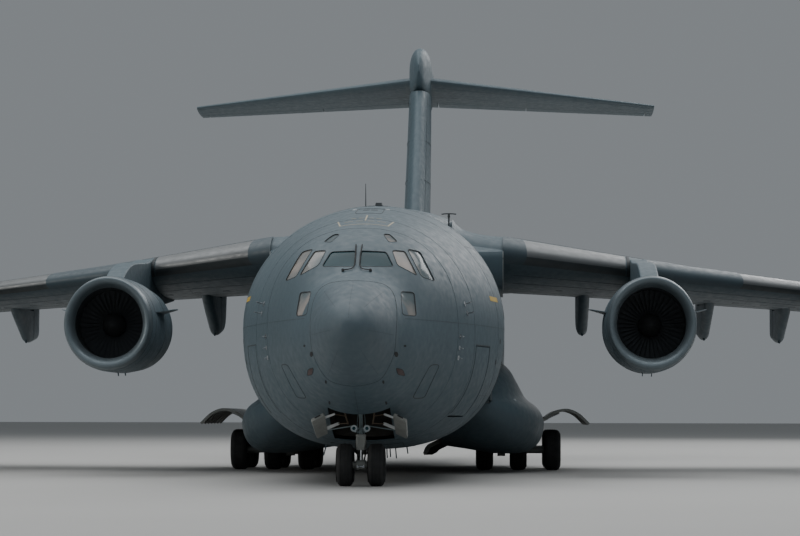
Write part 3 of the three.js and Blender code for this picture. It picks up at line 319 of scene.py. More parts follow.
def smooth_path(points, steps=6):
    """Points on a smooth curve through the given ones."""
    vectors = [Vector(point) for point in points]
    padded = [2 * vectors[0] - vectors[1], *vectors, 2 * vectors[-1] - vectors[-2]]
    curve = []
    for a, b, c, d in zip(padded, padded[1:], padded[2:], padded[3:]):
        for i in range(steps):
            t = i / steps
            value = 2 * b + (c - a) * t + (2 * a - 5 * b + 4 * c - d) * t**2 + (3 * b - a - 3 * c + d) * t**3
            curve.append(tuple(value / 2))
    return [*curve, tuple(vectors[-1])]


def flat_path(points, steps=6):
    return [(a, b) for a, b, _ in smooth_path([(a, b, 0) for a, b in points], steps)]


def lamp_dome(point, away, radius, height):
    """A low dome on a flat foot."""
    profile = [(radius * math.cos(a), height * math.sin(a)) for a in (math.pi / 2 * k / 8 for k in range(8))]
    dome = spun("z", [(radius, -12), *profile, (radius * 0.05, height)], steps=32)
    turn = Vector((0, 0, 1)).rotation_difference(Vector(away)).to_matrix()
    return [tuple(turn @ Vector(p) + Vector(point)) for p in dome[0]], dome[1]


# Meshes and pieces


def to_mesh(name, shape, unit=False):
    points, faces = shape
    mesh = bpy.data.meshes.new(name)
    mesh.from_pydata([place(point) for point in points] if unit else points, [], faces)
    work = bmesh.new()
    work.from_mesh(mesh)
    bmesh.ops.remove_doubles(work, verts=work.verts, dist=1e-5 if unit else 1e-2)
    bmesh.ops.recalc_face_normals(work, faces=work.faces)
    work.to_mesh(mesh)
    work.free()
    return mesh


def carve(base, *tools, how="DIFFERENCE"):
    """The base shape without the tools, or its common part with the one tool."""
    made = []
    for shape in (base, *tools):
        thing = bpy.data.objects.new("work", to_mesh("work", shape))
        bpy.context.scene.collection.objects.link(thing)
        made.append(thing)
    for tool in made[1:]:
        modifier = made[0].modifiers.new("cut", "BOOLEAN")
        modifier.operation = how
        modifier.object = tool
        modifier.solver = "MANIFOLD"
    view = bpy.context.evaluated_depsgraph_get()
    result = bpy.data.meshes.new_from_object(made[0].evaluated_get(view))
    shape = [tuple(v.co) for v in result.vertices], [tuple(p.vertices) for p in result.polygons]
    bpy.data.meshes.remove(result)
    for thing in made:
        mesh = thing.data
        bpy.data.objects.remove(thing)
        bpy.data.meshes.remove(mesh)
    return shape


def common(base, tool):
    return carve(base, tool, how="INTERSECT")


BEVEL_ANGLE = 40


def put(name, shape, material, body="airframe", replaces=(), sharp=32, bevel=0, segments=2):
    """One piece, from a shape or from a list of shapes."""
    mesh = to_mesh(name, whole(shape), unit=True)
    mesh.materials.append(MATERIALS[material])
    mesh.shade_smooth()
    mesh.set_sharp_from_angle(angle=math.radians(sharp))
    piece = bpy.data.objects.new(name, mesh)
    bpy.context.scene.collection.objects.link(piece)
    if bevel:
        edge = piece.modifiers.new("edges", "BEVEL")
        edge.width = bevel / FULL
        edge.segments = segments
        edge.limit_method = "ANGLE"
        edge.angle_limit = math.radians(BEVEL_ANGLE)
        edge.harden_normals = True
    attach(piece, body)
    if replaces:
        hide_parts(*replaces)
    return piece


def put_pair(name, shape, material, body="airframe", replaces=(), **finish):
    for word, hand in HANDS:
        rider = body if body == "airframe" else f"{body}_{word}"
        hidden = [f"{node}_{word}" for node in replaces]
        put(f"{name}_{word}", mirrored(shape, hand), material, rider, hidden, **finish)


# Interpolation


def rows_of(names, rows):
    keys = names.split()
    return [dict(zip(keys, row)) for row in rows]


def index_of(rows, key, at):
    """The index of the row that ends the interval with this value."""
    return max(next((i for i, row in enumerate(rows) if row[key] >= at), len(rows) - 1), 1)


def linear(rows, key, at):
    index = index_of(rows, key, at)
    a, b = rows[index - 1], rows[index]
    share = (at - a[key]) / (b[key] - a[key])
    return {name: a[name] + share * (b[name] - a[name]) for name in a}


def smooth(rows, key, at, warp=lambda value: value):
    """Rounded interpolation that never passes the rows' own values."""
    index = index_of(rows, key, at)
    places = [warp(row[key]) for row in rows]
    here = warp(at)
    result = {key: at}
    for name in rows[0]:
        if name == key:
            continue
        values = [row[name] for row in rows]
        slopes = [(values[i + 1] - values[i]) / (places[i + 1] - places[i]) for i in range(len(rows) - 1)]

        def tangent(i):
            if i == 0 or i == len(rows) - 1:
                return slopes[min(i, len(slopes) - 1)]
            before, after = slopes[i - 1], slopes[i]
            if before * after <= 0:
                return 0.0
            return 2 * before * after / (before + after)

        i, j = index - 1, index
        width = places[j] - places[i]
        t = (here - places[i]) / width
        result[name] = (
            (1 + 2 * t) * (1 - t) ** 2 * values[i]
            + t * (1 - t) ** 2 * width * tangent(i)
            + t**2 * (3 - 2 * t) * values[j]
            + t**2 * (t - 1) * width * tangent(j)
        )
    return result


# Body

BODY = rows_of("y half_width crown keel upper lower", [
    (0, 60, 3680, 3520, 2, 2),
    (160, 330, 3950, 3270, 2, 2),
    (550, 580, 4210, 2990, 2, 2),
    (1150, 800, 4490, 2700, 2, 2),
    (1900, 1030, 4760, 2390, 2, 2),
    (2900, 1460, 5020, 2030, 2.2, 2),
    (3100, 1540, 5140, 1970, 2.3, 2),
    (3700, 1760, 5580, 1790, 2.4, 2),
    (4300, 1970, 5890, 1600, 2.4, 2.1),
    (5200, 2270, 6180, 1330, 2.3, 2.2),
    (6400, 2640, 6500, 1070, 2.1, 2.4),
    (8400, 3150, 6910, 870, 2, 2.5),
    (10500, 3430, 7200, 820, 2, 2.4),
    (13000, 3430, 7440, 820, 2, 2.35),
    (14900, 3430, 7560, 820, 2, 2.35),
    (18500, 3430, 7670, 820, 2, 2.35),
    (27500, 3430, 7680, 820, 2, 2.35),
    (31640, 3430, 7680, 850, 2, 2.9),
    (35000, 3380, 7690, 1330, 2, 3),
    (38000, 3130, 7680, 2050, 2, 2.9),
    (41000, 2680, 7640, 3030, 2, 2.6),
    (44000, 2080, 7560, 4180, 2, 2.4),
    (46500, 1400, 7420, 5150, 2, 2.2),
    (48300, 760, 7230, 5800, 2, 2),
    (49300, 300, 7000, 6350, 2, 2),
])
TOUCH = 0.8
CLEAR = 14
WALL = 150
NOSE_WALL = 110
RADOME_SEAM = 1900
FORWARD_SEAM = 9100
AFT_SEAM = 31640
BODY_END = 49300
RING_STEPS = 96
LEAST_HALF = 45
NOSE_STEP = 1.6  # of the square root of the distance from the nose

station_cache = {}


def station(y):
    key = round(y, 2)
    if key not in station_cache:
        station_cache[key] = smooth(BODY, "y", min(max(y, 0), BODY_END), math.sqrt)
    return station_cache[key]


def heights(row):
    """The height of a section's middle, and half of the section's height."""
    return (row["crown"] + row["keel"]) / 2, (row["crown"] - row["keel"]) / 2


def round_point(y, angle, inset=0.0):
    """A point of a section, at an angle that is 0 at the port side and 90 degrees at the top."""
    row = station(y)
    middle, half_height = heights(row)
    c, s = math.cos(angle), math.sin(angle)
    power = 2 / (row["upper"] if s >= 0 else row["lower"])
    x = (row["half_width"] - inset) * signed_power(c, power)
    return (x, y, middle + (half_height - inset) * signed_power(s, power))


def body_ring(y, inset=0.0):
    return [round_point(y, angle, inset) for angle in turns(RING_STEPS)]


def body(start, end, inset=0.0):
    """The body between two places, without the ends that are too narrow for the inset."""
    while station(start)["half_width"] <= inset + LEAST_HALF:
        start += 10
    while station(end)["half_width"] <= inset + LEAST_HALF:
        end -= 20
    places = [start]
    root = math.sqrt(start)
    while (root + NOSE_STEP) ** 2 < end - 40:
        root += NOSE_STEP
        if root**2 > start + 5:
            places.append(root**2)
    places.append(end)
    return loft([body_ring(y, inset) for y in places])


def share(x, y, z):
    """Less than 1 inside the body, 1 on its skin."""
    row = station(y)
    middle, half_height = heights(row)
    power = row["upper"] if z >= middle else row["lower"]
    return (abs(x) / row["half_width"]) ** power + (abs(z - middle) / half_height) ** power


def outward(point):
    x, y, z = point
    step = 4.0
    slope = Vector((
        share(x + step, y, z) - share(x - step, y, z),
        share(x, y + step, z) - share(x, y - step, z),
        share(x, y, z + step) - share(x, y, z - step),
    ))
    return slope.normalized()


SEARCH_REACH = 12000.0  # how far aft a place seen from the front can lie
HALVINGS = 40  # of that reach, to find the skin


def on_skin(view, a, b, hand=1):
    """The skin's point at x and z seen from the front, at y and z from the side, or at x and y
    from above or below."""
    if view == "front":
        low, high = 0.0, SEARCH_REACH
        for _ in range(HALVINGS):
            middle = (low + high) / 2
            low, high = (middle, high) if share(a, middle, b) > 1 else (low, middle)
        return (a * hand, high, b)
    row = station(a if view == "side" else b)
    middle, half_height = heights(row)
    if view == "side":
        power = row["upper"] if b >= middle else row["lower"]
        left = max(0.0, 1 - (abs(b - middle) / half_height) ** power)
        return (hand * row["half_width"] * left ** (1 / power), a, b)
    power = row["upper"] if view == "top" else row["lower"]
    left = max(0.0, 1 - (abs(a) / row["half_width"]) ** power)
    rise = half_height * left ** (1 / power)
    return (a * hand, b, middle + rise if view == "top" else middle - rise)


def densified(points, closed, step):
    result = []
    pairs = list(zip(points, points[1:] + points[:1] if closed else points[1:]))
    for a, b in pairs:
        count = max(1, math.ceil(math.dist(a, b) / step))
        result += [tuple(p + (q - p) * i / count for p, q in zip(a, b)) for i in range(count)]
    if not closed:
        result.append(tuple(points[-1]))
    return result


def rounded(corners, radius, steps=4):
    """An outline with its corners rounded."""
    result = []
    count = len(corners)
    for i, corner in enumerate(corners):
        here = Vector(corner)
        before, after = Vector(corners[i - 1]) - here, Vector(corners[(i + 1) % count]) - here
        reach = min(radius, before.length * 0.45, after.length * 0.45)
        a, b = here + before.normalized() * reach, here + after.normalized() * reach
        for k in range(steps + 1):
            t = k / steps
            result.append(tuple((1 - t) ** 2 * a + 2 * t * (1 - t) * here + t**2 * b))
    return result


def ribbon(points, normals, width, lift=4.0, sink=8.0, closed=False):
    """A flat strip that lies on a surface."""
    rings = []
    count = len(points)
    for i, point in enumerate(points):
        here = Vector(point)
        ahead = Vector(points[(i + 1) % count if closed else min(i + 1, count - 1)])
        behind = Vector(points[i - 1 if closed else max(i - 1, 0)])
        normal = normals[i]
        side = normal.cross(ahead - behind).normalized() * width / 2
        up, down = normal * lift, -normal * sink
        rings.append([tuple(here + corner) for corner in (up - side, up + side, down + side, down - side)])
    return loft(rings, closed)


def trace(view, corners, width, closed=True, radius=0, hand=1, lift=4.0, step=90):
    outline = rounded(corners, radius) if radius else corners
    points = [on_skin(view, a, b, hand) for a, b in densified(outline, closed, step)]
    return ribbon(points, [outward(p) for p in points], width, lift, closed=closed)


SEAM_LIFT = 2.5
PATCH_SINK = 10


def seam_line(view, corners, width, hand=1):
    """An open line that hardly stands off the skin."""
    return trace(view, corners, width, False, hand=hand, lift=SEAM_LIFT)


def patch(view, corners, lift, radius=0, hand=1):
    """A thin plate on the skin."""
    outline = rounded(corners, radius) if radius else corners
    points = [on_skin(view, a, b, hand) for a, b in outline]
    normals = [outward(p) for p in points]
    top = [tuple(Vector(p) + lift * n) for p, n in zip(points, normals)]
    bottom = [tuple(Vector(p) - PATCH_SINK * n) for p, n in zip(points, normals)]
    return loft([bottom, top])


def ring_line(y, start=0.0, end=360.0, steps=120, width=14):
    """A seam round the body, from one angle to another: 0 is the port side and 90 the top."""
    closed = end - start >= 360
    places = spaced(start, end, steps)[:steps if closed else steps + 1]
    points = [round_point(y, math.radians(degrees)) for degrees in places]
    return ribbon(points, [outward(p) for p in points], width, SEAM_LIFT, closed=closed)


# Openings: the port side's windows as corners in x and z, then doors, ramp and nose gear bay
WINDOWS = [
    [(50, 5150), (844, 5165), (655, 5540), (50, 5560)],
    [(925, 5205), (1390, 4965), (1075, 5585), (775, 5590)],
    [(1480, 4950), (1790, 4875), (1420, 5610), (1125, 5650)],
    [(690, 5800), (890, 5830), (670, 6055), (515, 6045)],
    [(1040, 4560), (1334, 4550), (1400, 3980), (1100, 3985)],
]
CREW_DOOR = {"y0": 6800, "y1": 8000, "z0": 1690, "z1": 3400}
RAMP = {"half_width": 2740, "y0": 31700, "y1": 37750, "rise": 9.5, "back_slope": 360, "back_z": 2000}
RAMP_OPENING_Z = 2900
CARGO_DOOR = {"y1": 44000, "front": 2600, "back": 1560}
HOLD_FLOOR_Z = 1630
DOOR_SILL = 34  # room below the crew door for its swing
BAY = {"half_width": 740, "y0": 3950, "y1": 6500, "ceiling": 2700, "wall": 60}


def grown(corners, by):
    middle = [sum(c[i] for c in corners) / len(corners) for i in (0, 1)]
    return [tuple(c[i] + by * (1 if c[i] > middle[i] else -1) for i in (0, 1)) for c in corners]


window_outlines = [rounded(corners, 70) for corners in WINDOWS]


def crew_opening(gap, below):
    door = CREW_DOOR
    return block((1500, 4000), (door["y0"] - gap, door["y1"] + gap), (door["z0"] - below, door["z1"] + gap))


def bay_space(grow, low):
    sides = (-BAY["half_width"] - grow, BAY["half_width"] + grow)
    return block(sides, (BAY["y0"] - grow, BAY["y1"] + grow), (low, BAY["ceiling"] + grow))


radome = body(0, RADOME_SEAM)
put("nose_cone", radome, "radome", replaces=["radome"])
forward_outer = body(RADOME_SEAM + TOUCH, FORWARD_SEAM - TOUCH)
forward_inner = body(2450, FORWARD_SEAM + 100, NOSE_WALL)
window_cuts = [
    prism("y", [(hand * x, z) for x, z in outline], 2500, 6300)
    for outline in window_outlines
    for hand in SIDES
]
bay_outer, bay_inner = bay_space(BAY["wall"], 500), bay_space(0, 400)
forward = carve(forward_outer, forward_inner, bay_inner, crew_opening(CLEAR, DOOR_SILL), *window_cuts)
put("body_forward", forward, "paint", replaces=["fuselage_forward"])
bay_box = common(carve(bay_outer, bay_inner), body(2000, 9000, 30))
# the bay's near-black lining is painted shade
put("nose_bay_lining", bay_box, "bay")
crew_panel = common(carve(forward_outer, forward_inner), crew_opening(0, 0))
put("crew_door_panel", crew_panel, "paint", "crew_door", ["crew_door"])

centre = carve(body(FORWARD_SEAM, AFT_SEAM - TOUCH), body(FORWARD_SEAM - 100, AFT_SEAM + 100, WALL))
put("body_centre", centre, "paint", replaces=["fuselage_centre"])

aft_outer = body(AFT_SEAM, BODY_END)
aft_shell = carve(aft_outer, body(AFT_SEAM - 100, 48000, WALL))
ramp_top = HOLD_FLOOR_Z + (RAMP["y1"] - RAMP["y0"]) * math.tan(math.radians(RAMP["rise"]))
ramp_outline = [
    (RAMP["y0"], 0),
    (RAMP["y1"], 0),
    (RAMP["y1"], RAMP["back_z"]),
    (RAMP["y1"] - RAMP["back_slope"], ramp_top),
    (RAMP["y0"], HOLD_FLOOR_Z),
]
ramp_tool = prism("x", ramp_outline, -RAMP["half_width"], RAMP["half_width"])
put("ramp_panel", common(aft_outer, ramp_tool), "paint", "cargo_ramp", ["cargo_ramp"])
ramp_hole = block(
    (-RAMP["half_width"] - CLEAR, RAMP["half_width"] + CLEAR),
    (AFT_SEAM - CLEAR, RAMP["y1"] + CLEAR),
    (0, RAMP_OPENING_Z),
)


def door_space(gap):
    front, back = RAMP["y1"] + 2 * CLEAR - gap, CARGO_DOOR["y1"] + gap
    wide, narrow = CARGO_DOOR["front"] + gap, CARGO_DOOR["back"] + gap
    return prism("z", [(-wide, front), (wide, front), (narrow, back), (-narrow, back)], 500, 5200)


put("cargo_door_panel", common(aft_shell, door_space(0)), "paint", "cargo_door", ["cargo_door"])
put("body_aft", carve(aft_shell, ramp_hole, door_space(CLEAR)), "paint", replaces=["fuselage_aft"])

# Aerofoils

WING = rows_of("x le_y le_z chord thick incidence roll", [
    (3600, 17208, 6460, 10450, 0.135, 3, 0),
    (9000, 20070, 5930, 7830, 0.12, 2.8, 0),
    (17500, 24575, 5215, 5155, 0.11, 2.2, 0),
    (24600, 28338, 4720, 2920, 0.105, 1.5, 0),
    (24950, 28750, 4775, 2640, 0.1, 1, 22),
    (25250, 29350, 5150, 2250, 0.095, 0, 62),
    (25460, 30100, 5900, 1850, 0.09, 0, 74),
    (25833, 31450, 7500, 1000, 0.085, 0, 76),
])
STRAIGHT_END = 24600
WING_ROOT = 3600
FLAP_SHARE, AILERON_SHARE = 0.7, 0.76
END_GAP = 40
FLAPS = rows_of("name x0 x1", [("inboard", 4460, 10980), ("outboard", 11010, 17400)])
AILERON = {"x0": 17440, "x1": 23900}
FLAP_LINE = ((5930, 25200, 4380), (16500, 28050, 4080))
PODS = rows_of("flap x forward", [
    ("inboard", 5930, 3300),
    ("inboard", 9920, 3200),
    ("outboard", 12430, 2900),
    ("outboard", 16500, 2300),
])
FIN = rows_of("z le_y chord thick", [(7000, 36930, 10060, 0.1), (14820 - TOUCH, 43638, 6080, 0.143)])
RUDDERS = rows_of("name z0 z1", [("lower", 7950, 11360), ("upper", 11440, 14520)])
STABILISER = rows_of("x le_y le_z chord thick incidence", [
    (0, 44850, 15440, 5650, 0.1, 4),
    (9905, 53040 - 2300 * math.cos(math.radians(4)), 15080, 2300, 0.09, 4),
])
ELEVATORS = rows_of("name x0 x1", [("inboard", 640, 4370), ("outboard", 4400, 9560)])
TAIL_SHARE = 0.7
CHORD_STEPS = [0, 0.004, 0.012, 0.025, 0.045, 0.07, 0.1, 0.14, 0.19, 0.25, 0.32, 0.4, 0.48, 0.56, 0.64]


def foil_half(u, thick):
    u = max(u, 0.0)
    curve = 0.2969 * math.sqrt(u) - 0.126 * u - 0.3516 * u**2 + 0.2843 * u**3 - 0.1036 * u**4
    return 5 * thick * curve + 0.002 * u


def foil_point(section, u, v):
    if "z" in section:
        return (v * section["chord"], section["le_y"] + u * section["chord"], section["z"])
    pitch, roll = math.radians(section.get("incidence", 0)), math.radians(section.get("roll", 0))
    return (
        section["x"] - v * section["chord"] * math.sin(roll),
        section["le_y"] + section["chord"] * (u * math.cos(pitch) + v * math.sin(pitch)),
        section["le_z"] + section["chord"] * (v * math.cos(roll) - u * math.sin(pitch)),
    )


def wing_at(x):
    return linear(WING, "x", x) if x <= STRAIGHT_END else smooth(WING, "x", x)


def fin_at(z):
    return linear(FIN, "z", z)


def tail_at(x):
    return linear(STABILISER, "x", x)


def fixed_ring(section, end=1.0, grow=0.0):
    steps = [u for u in CHORD_STEPS if u < end - 0.03] + [end]
    if end > 0.9:
        steps = [*steps[:-1], 0.72, 0.8, 0.88, 0.95, 1.0]
    extra = grow / section["chord"]
    top = [foil_point(section, -extra, 0)]
    top += [foil_point(section, u, foil_half(u, section["thick"]) + extra) for u in steps[1:]]
    low = [foil_point(section, u, -foil_half(u, section["thick"]) - extra) for u in steps[1:]]
    return list(reversed(top)) + low


def control_ring(section, hinge):
    radius = foil_half(hinge, section["thick"])
    nose = []
    for degrees in range(105, 256, 15):
        angle = math.radians(degrees)
        nose.append((hinge + radius * math.cos(angle), radius * math.sin(angle)))
    back = spaced(hinge, 1, 6)
    upper = [(u, foil_half(u, section["thick"])) for u in reversed(back)]
    lower = [(u, -foil_half(u, section["thick"])) for u in back]
    return [foil_point(section, u, v) for u, v in upper + nose + lower]


def cove_end(section, hinge, gap=CLEAR):
    return hinge - foil_half(hinge, section["thick"]) - gap / section["chord"]


SLAB_REACH = 30000.0


def slab(line, x0, x1):
    """The space between two planes square to a line, at the line's points at x0 and x1."""
    start, end = Vector(line[0]), Vector(line[1])
    along = (end - start).normalized()
    side = along.cross(Vector((0, 0, 1))).normalized()
    up = side.cross(along)
    rings = []
    for x in (x0, x1):
        middle = start + (end - start) * (x - start.x) / (end.x - start.x)
        corners = rectangle(1, -1, 1, -1)
        rings.append([tuple(middle + SLAB_REACH * (a * side + b * up)) for a, b in corners])
    return loft(rings)


def control_bay(stations, hinge):
    rings = []
    for x in stations:
        section = wing_at(x)
        start = cove_end(section, hinge)
        rings.append([foil_point(section, u, v) for u, v in rectangle(start, 1.2, 0.2, -0.2)])
    return loft(rings)


aileron_line = tuple(foil_point(wing_at(AILERON[x]), AILERON_SHARE, 0) for x in ("x0", "x1"))
wing_places = [WING_ROOT + TOUCH, 4460, 6000, 7500, 9000, 11000, 13000, 15000, 17500, 20000, 22500, 24600]
wing_places += spaced(STRAIGHT_END, WING[-1]["x"], 18)[1:]
whole_wing = loft([fixed_ring(wing_at(x)) for x in wing_places])
flap_bay = control_bay([3200, 9000, 17500, 18400], FLAP_SHARE)
aileron_bay = control_bay([16600, 17500, 24600], AILERON_SHARE)
wing = carve(
    whole_wing,
    common(flap_bay, slab(FLAP_LINE, FLAPS[0]["x0"] - END_GAP, FLAPS[1]["x1"] + END_GAP)),
    common(aileron_bay, slab(aileron_line, AILERON["x0"] - 80, AILERON["x1"] + END_GAP)),
)
put_pair("wing_skin", wing, "paint", replaces=["wing"])
flap_panels = loft([control_ring(wing_at(x), FLAP_SHARE) for x in (3200, 6000, 9000, 13000, 17500, 18400)])
for row in FLAPS:
    panel = common(flap_panels, slab(FLAP_LINE, row["x0"], row["x1"]))
    node = f"flap_{row['name']}"
    put_pair(f"flap_skin_{row['name']}", panel, "paint", node, [node])
aileron_panel = loft([control_ring(wing_at(x), AILERON_SHARE) for x in (16600, 17500, 21000, 24600)])
aileron = common(aileron_panel, slab(aileron_line, AILERON["x0"], AILERON["x1"]))
put_pair("aileron_skin", aileron, "paint", "aileron", ["aileron"])


def flap_pivot(x):
    (x0, y0, z0), (x1, y1, z1) = FLAP_LINE
    t = (x - x0) / (x1 - x0)
    return (x, y0 + t * (y1 - y0), z0 + t * (z1 - z0))


POD_HALF = 172
POD_STEPS = 22
POD_HALF_GAP = 30  # from the hinge to each half of a fairing


def along(path, y):
    """The height of a path of points at a place on it."""
    for (y0, z0), (y1, z1) in zip(path, path[1:]):
        if y <= y1:
            return z0 + (z1 - z0) * (y - y0) / (y1 - y0)
    return path[-1][1]


def pod_ring(y, x, top, bottom, half):
    """A section with straight sides and a round bottom."""
    bend = bottom + min(1.5 * half, 0.8 * (top - bottom))
    ring = [(x + half, y, top)]
    for i in range(17):
        angle = math.pi * i / 16
        ring.append((x + half * math.cos(angle), y, bend - (bend - bottom) * math.sin(angle) ** 0.8))
    return [*ring, (x - half, y, top)]


for row in PODS:
    x, forward_reach = row["x"], row["forward"]
    _, py, pz = flap_pivot(x)
    section = wing_at(x)
    surface = foil_point(section, 0.55, -foil_half(0.55, section["thick"]))[2]
    _, edge_y, edge_z = foil_point(section, 0.97, 0)
    low = foil_point(section, FLAP_SHARE, -foil_half(FLAP_SHARE, section["thick"]))[2]
    cove_y = foil_point(section, cove_end(section, FLAP_SHARE), 0)[1]
    depth = [surface + (pz - surface) * part for part in (-0.1, 0.42, 0.84)]
    start, end = py - forward_reach, py - POD_HALF_GAP
    path = flat_path([
        (start, depth[0]), (py - 0.62 * forward_reach, depth[1]), (py - 0.3 * forward_reach, depth[2]),
        (py - 380, pz - 60), (end, pz - 78),
    ])
    places = sorted({*spaced(start, end, POD_STEPS), cove_y - 41, cove_y - 40})
    rings = []
    for y in places:
        half = POD_HALF * min(1.0, 0.25 + 0.75 * math.sqrt(min(1.0, (y - start) / (0.3 * forward_reach))))
        top = section["le_z"] - 250 if y < cove_y - 40.5 else low - 20
        rings.append(pod_ring(y, x, top, min(along(path, y), top - 30), half))
    knob = lamp_dome((x, py - 420, pz - 52), (0, -0.35, -1), 44, 60)
    put_pair(f"flap_pod_front_{x}", merged(loft(rings), knob), "paint")
    path = flat_path([
        (py + POD_HALF_GAP, pz - 66), (py + 500, pz - 6), (py + 1100, pz + 150),
        (edge_y - 700, (pz + edge_z) / 2 + 130), (edge_y, edge_z - 24),
    ])
    rings = []
    start, end = py + POD_HALF_GAP, edge_y
    for y in spaced(start, end, POD_STEPS):
        half = POD_HALF * min(1.0, 0.12 + 0.88 * math.sqrt(min(1.0, (end - y) / (0.45 * (end - start)))))
        top = foil_point(section, (y - section["le_y"]) / section["chord"], 0)[2] - 8
        rings.append(pod_ring(y, x, top, min(along(path, y), top - 6), half))
    put_pair(f"flap_pod_back_{x}", loft(rings), "paint", f"flap_{row['flap']}")

# Wing roots and the low fairing over the body
HUMP = rows_of("y half_width top bottom", [
    (15300, 900, 7520, 6600),
    (17500, 1900, 7760, 6350),
    (20500, 2500, 7880, 6000),
    (26500, 2500, 7880, 6000),
    (29500, 1900, 7800, 6300),
    (31300, 1000, 7600, 6700),
])
hump_rings = []
for y in spaced(HUMP[0]["y"], HUMP[-1]["y"], 40):
    row = smooth(HUMP, "y", y)
    ring = []
    for angle in (math.pi * i / 40 for i in range(41)):
        x = row["half_width"] * signed_power(math.cos(angle), 0.72)
        ring.append((x, y, row["bottom"] + (row["top"] - row["bottom"]) * math.sin(angle) ** 0.6))
    hump_rings.append(ring)
FILLET_START = 1900
root = wing_at(WING_ROOT)
fillet_rings = []
for t in spaced(0, 1, 12):
    x = FILLET_START + (WING_ROOT - TOUCH - FILLET_START) * t
    grow = 10 + 520 * (1 - math.sqrt(1 - (1 - t) ** 2)) if t > 0 else 530
    fillet_rings.append(fixed_ring({**root, "x": x}, 1.0, grow))
fillet = loft(fillet_rings)
centre_body = merged(loft(hump_rings), fillet, mirrored(fillet, -1))
put("wing_root_fairing", centre_body, "paint", replaces=["wing_centre_fairing"])

# Tail
BULLET = rows_of("y half_width top bottom", [
    (43250, 30, 15830, 15550),
    (43550, 190, 16230, 15050),
    (44300, 340, 16600, 14820),
    (45600, 455, 16790, 14820),
    (48600, 455, 16790, 14820),
    (50600, 370, 16560, 14820),
    (51900, 190, 16080, 14980),
    (52500, 30, 15640, 15400),
])
bullet_rings = []
bullet_start, bullet_end = BULLET[0]["y"], BULLET[-1]["y"]
for t in spaced(0, 1, 60):
    y = bullet_start + (bullet_end - bullet_start) * (3 * t**2 - 2 * t**3)
    row = smooth(BULLET, "y", y)
    middle, half = (row["top"] + row["bottom"]) / 2, (row["top"] - row["bottom"]) / 2
    ring = []
    for angle in turns(48):
        c, s = math.cos(angle), math.sin(angle)
        power = 0.9 if s >= 0 else 0.45
        ring.append((row["half_width"] * signed_power(c, power), y, middle + half * signed_power(s, power)))
    bullet_rings.append(ring)

RUDDER_GAP, RUDDER_CLEAR = 80, 30


def breaks_between(section_at, first, last, near, far, gap, clear):
    """Places with the end of the fixed part's chord, which is cut back before the control surfaces."""
    return [
        (first, 1),
        (near - gap - 1, 1),
        (near - gap, cove_end(section_at(near), TAIL_SHARE, clear)),
        (far + gap, cove_end(section_at(far), TAIL_SHARE, clear)),
        (far + gap + 1, 1),
        (last, 1),
    ]


def broken_loft(section_at, breaks):
    """A surface made of short lofts, since the number of points changes where its end does."""
    parts = []
    for (a, end_a), (b, end_b) in zip(breaks, breaks[1:]):
        if abs(b - a) > 5:
            parts.append(loft([fixed_ring(section_at(s), e) for s, e in ((a, end_a), (b, end_b))]))
    return merged(*parts)


low, high = RUDDERS[0]["z0"], RUDDERS[1]["z1"]
fin_breaks = breaks_between(fin_at, FIN[0]["z"], FIN[1]["z"], low, high, RUDDER_GAP, RUDDER_CLEAR)
put("fin_skin", broken_loft(fin_at, fin_breaks), "paint", replaces=["fin"])
for row in RUDDERS:
    panel = loft([control_ring(fin_at(z), TAIL_SHARE) for z in (row["z0"], row["z1"])])
    node = f"rudder_{row['name']}"
    put(f"rudder_skin_{row['name']}", panel, "paint", node, [node])
near, far = ELEVATORS[0]["x0"], ELEVATORS[1]["x1"]
tail_breaks = breaks_between(tail_at, 0, STABILISER[1]["x"], near, far, END_GAP, CLEAR)
tail_half = broken_loft(tail_at, tail_breaks)
tail = merged(loft(bullet_rings), tail_half, mirrored(tail_half, -1))
put("tailplane_skin", tail, "paint", replaces=["stabiliser"])
for row in ELEVATORS:
    panel = loft([control_ring(tail_at(x), TAIL_SHARE) for x in (row["x0"], row["x1"])])
    node = f"elevator_{row['name']}"
    put_pair(f"elevator_skin_{row['name']}", panel, "paint", node, [node])

# Engines
ENGINES = rows_of("name x lip_y z", [("inboard", 7445, 12655, 4197), ("outboard", 13950, 16100, 3760)])
# Profiles of the intake and cowl: the place behind the lip's front, and the radius
COWL = [(302, 1280), (400, 1289), (900, 1305), (1500, 1312), (2200, 1312), (2800, 1306), (3700, 1268),
        (4600, 1222)]
DUCT = [(4600, 1200), (3400, 1180), (2500, 1110), (1800, 1040), (1640, 1006), (1300, 994), (900, 970),
        (445, 957)]
LIP = [(0, 1165), (10, 1196), (40, 1222), (90, 1240), (180, 1261), (300, 1280), (292, 1262), (60, 1165),
       (432, 962), (430, 948), (420, 940), (300, 950), (220, 966), (140, 993), (80, 1027), (35, 1070),
       (10, 1112), (2, 1140)]
LINER = [(428, 944), (900, 956), (1300, 979), (1640, 993), (1640, 1003), (1300, 991), (900, 967), (436, 954)]
FAN = {"y0": 1300, "y1": 1620, "hub": 330, "tip": 968, "blades": 38}
LIP_RADIUS, THROAT_RADIUS = 1280, 957
OUTSIDE = 1230  # radius from which a point is on the cowl's outer face
NARROWER, TALLER, THROAT_TALLER = 0.043, 0.027, 0.065
FADE_START, FADE_END = 200, 1100
RETURN_START, RETURN_END = 2500, 3500


def clamped(value):
    return max(0.0, min(1.0, value))


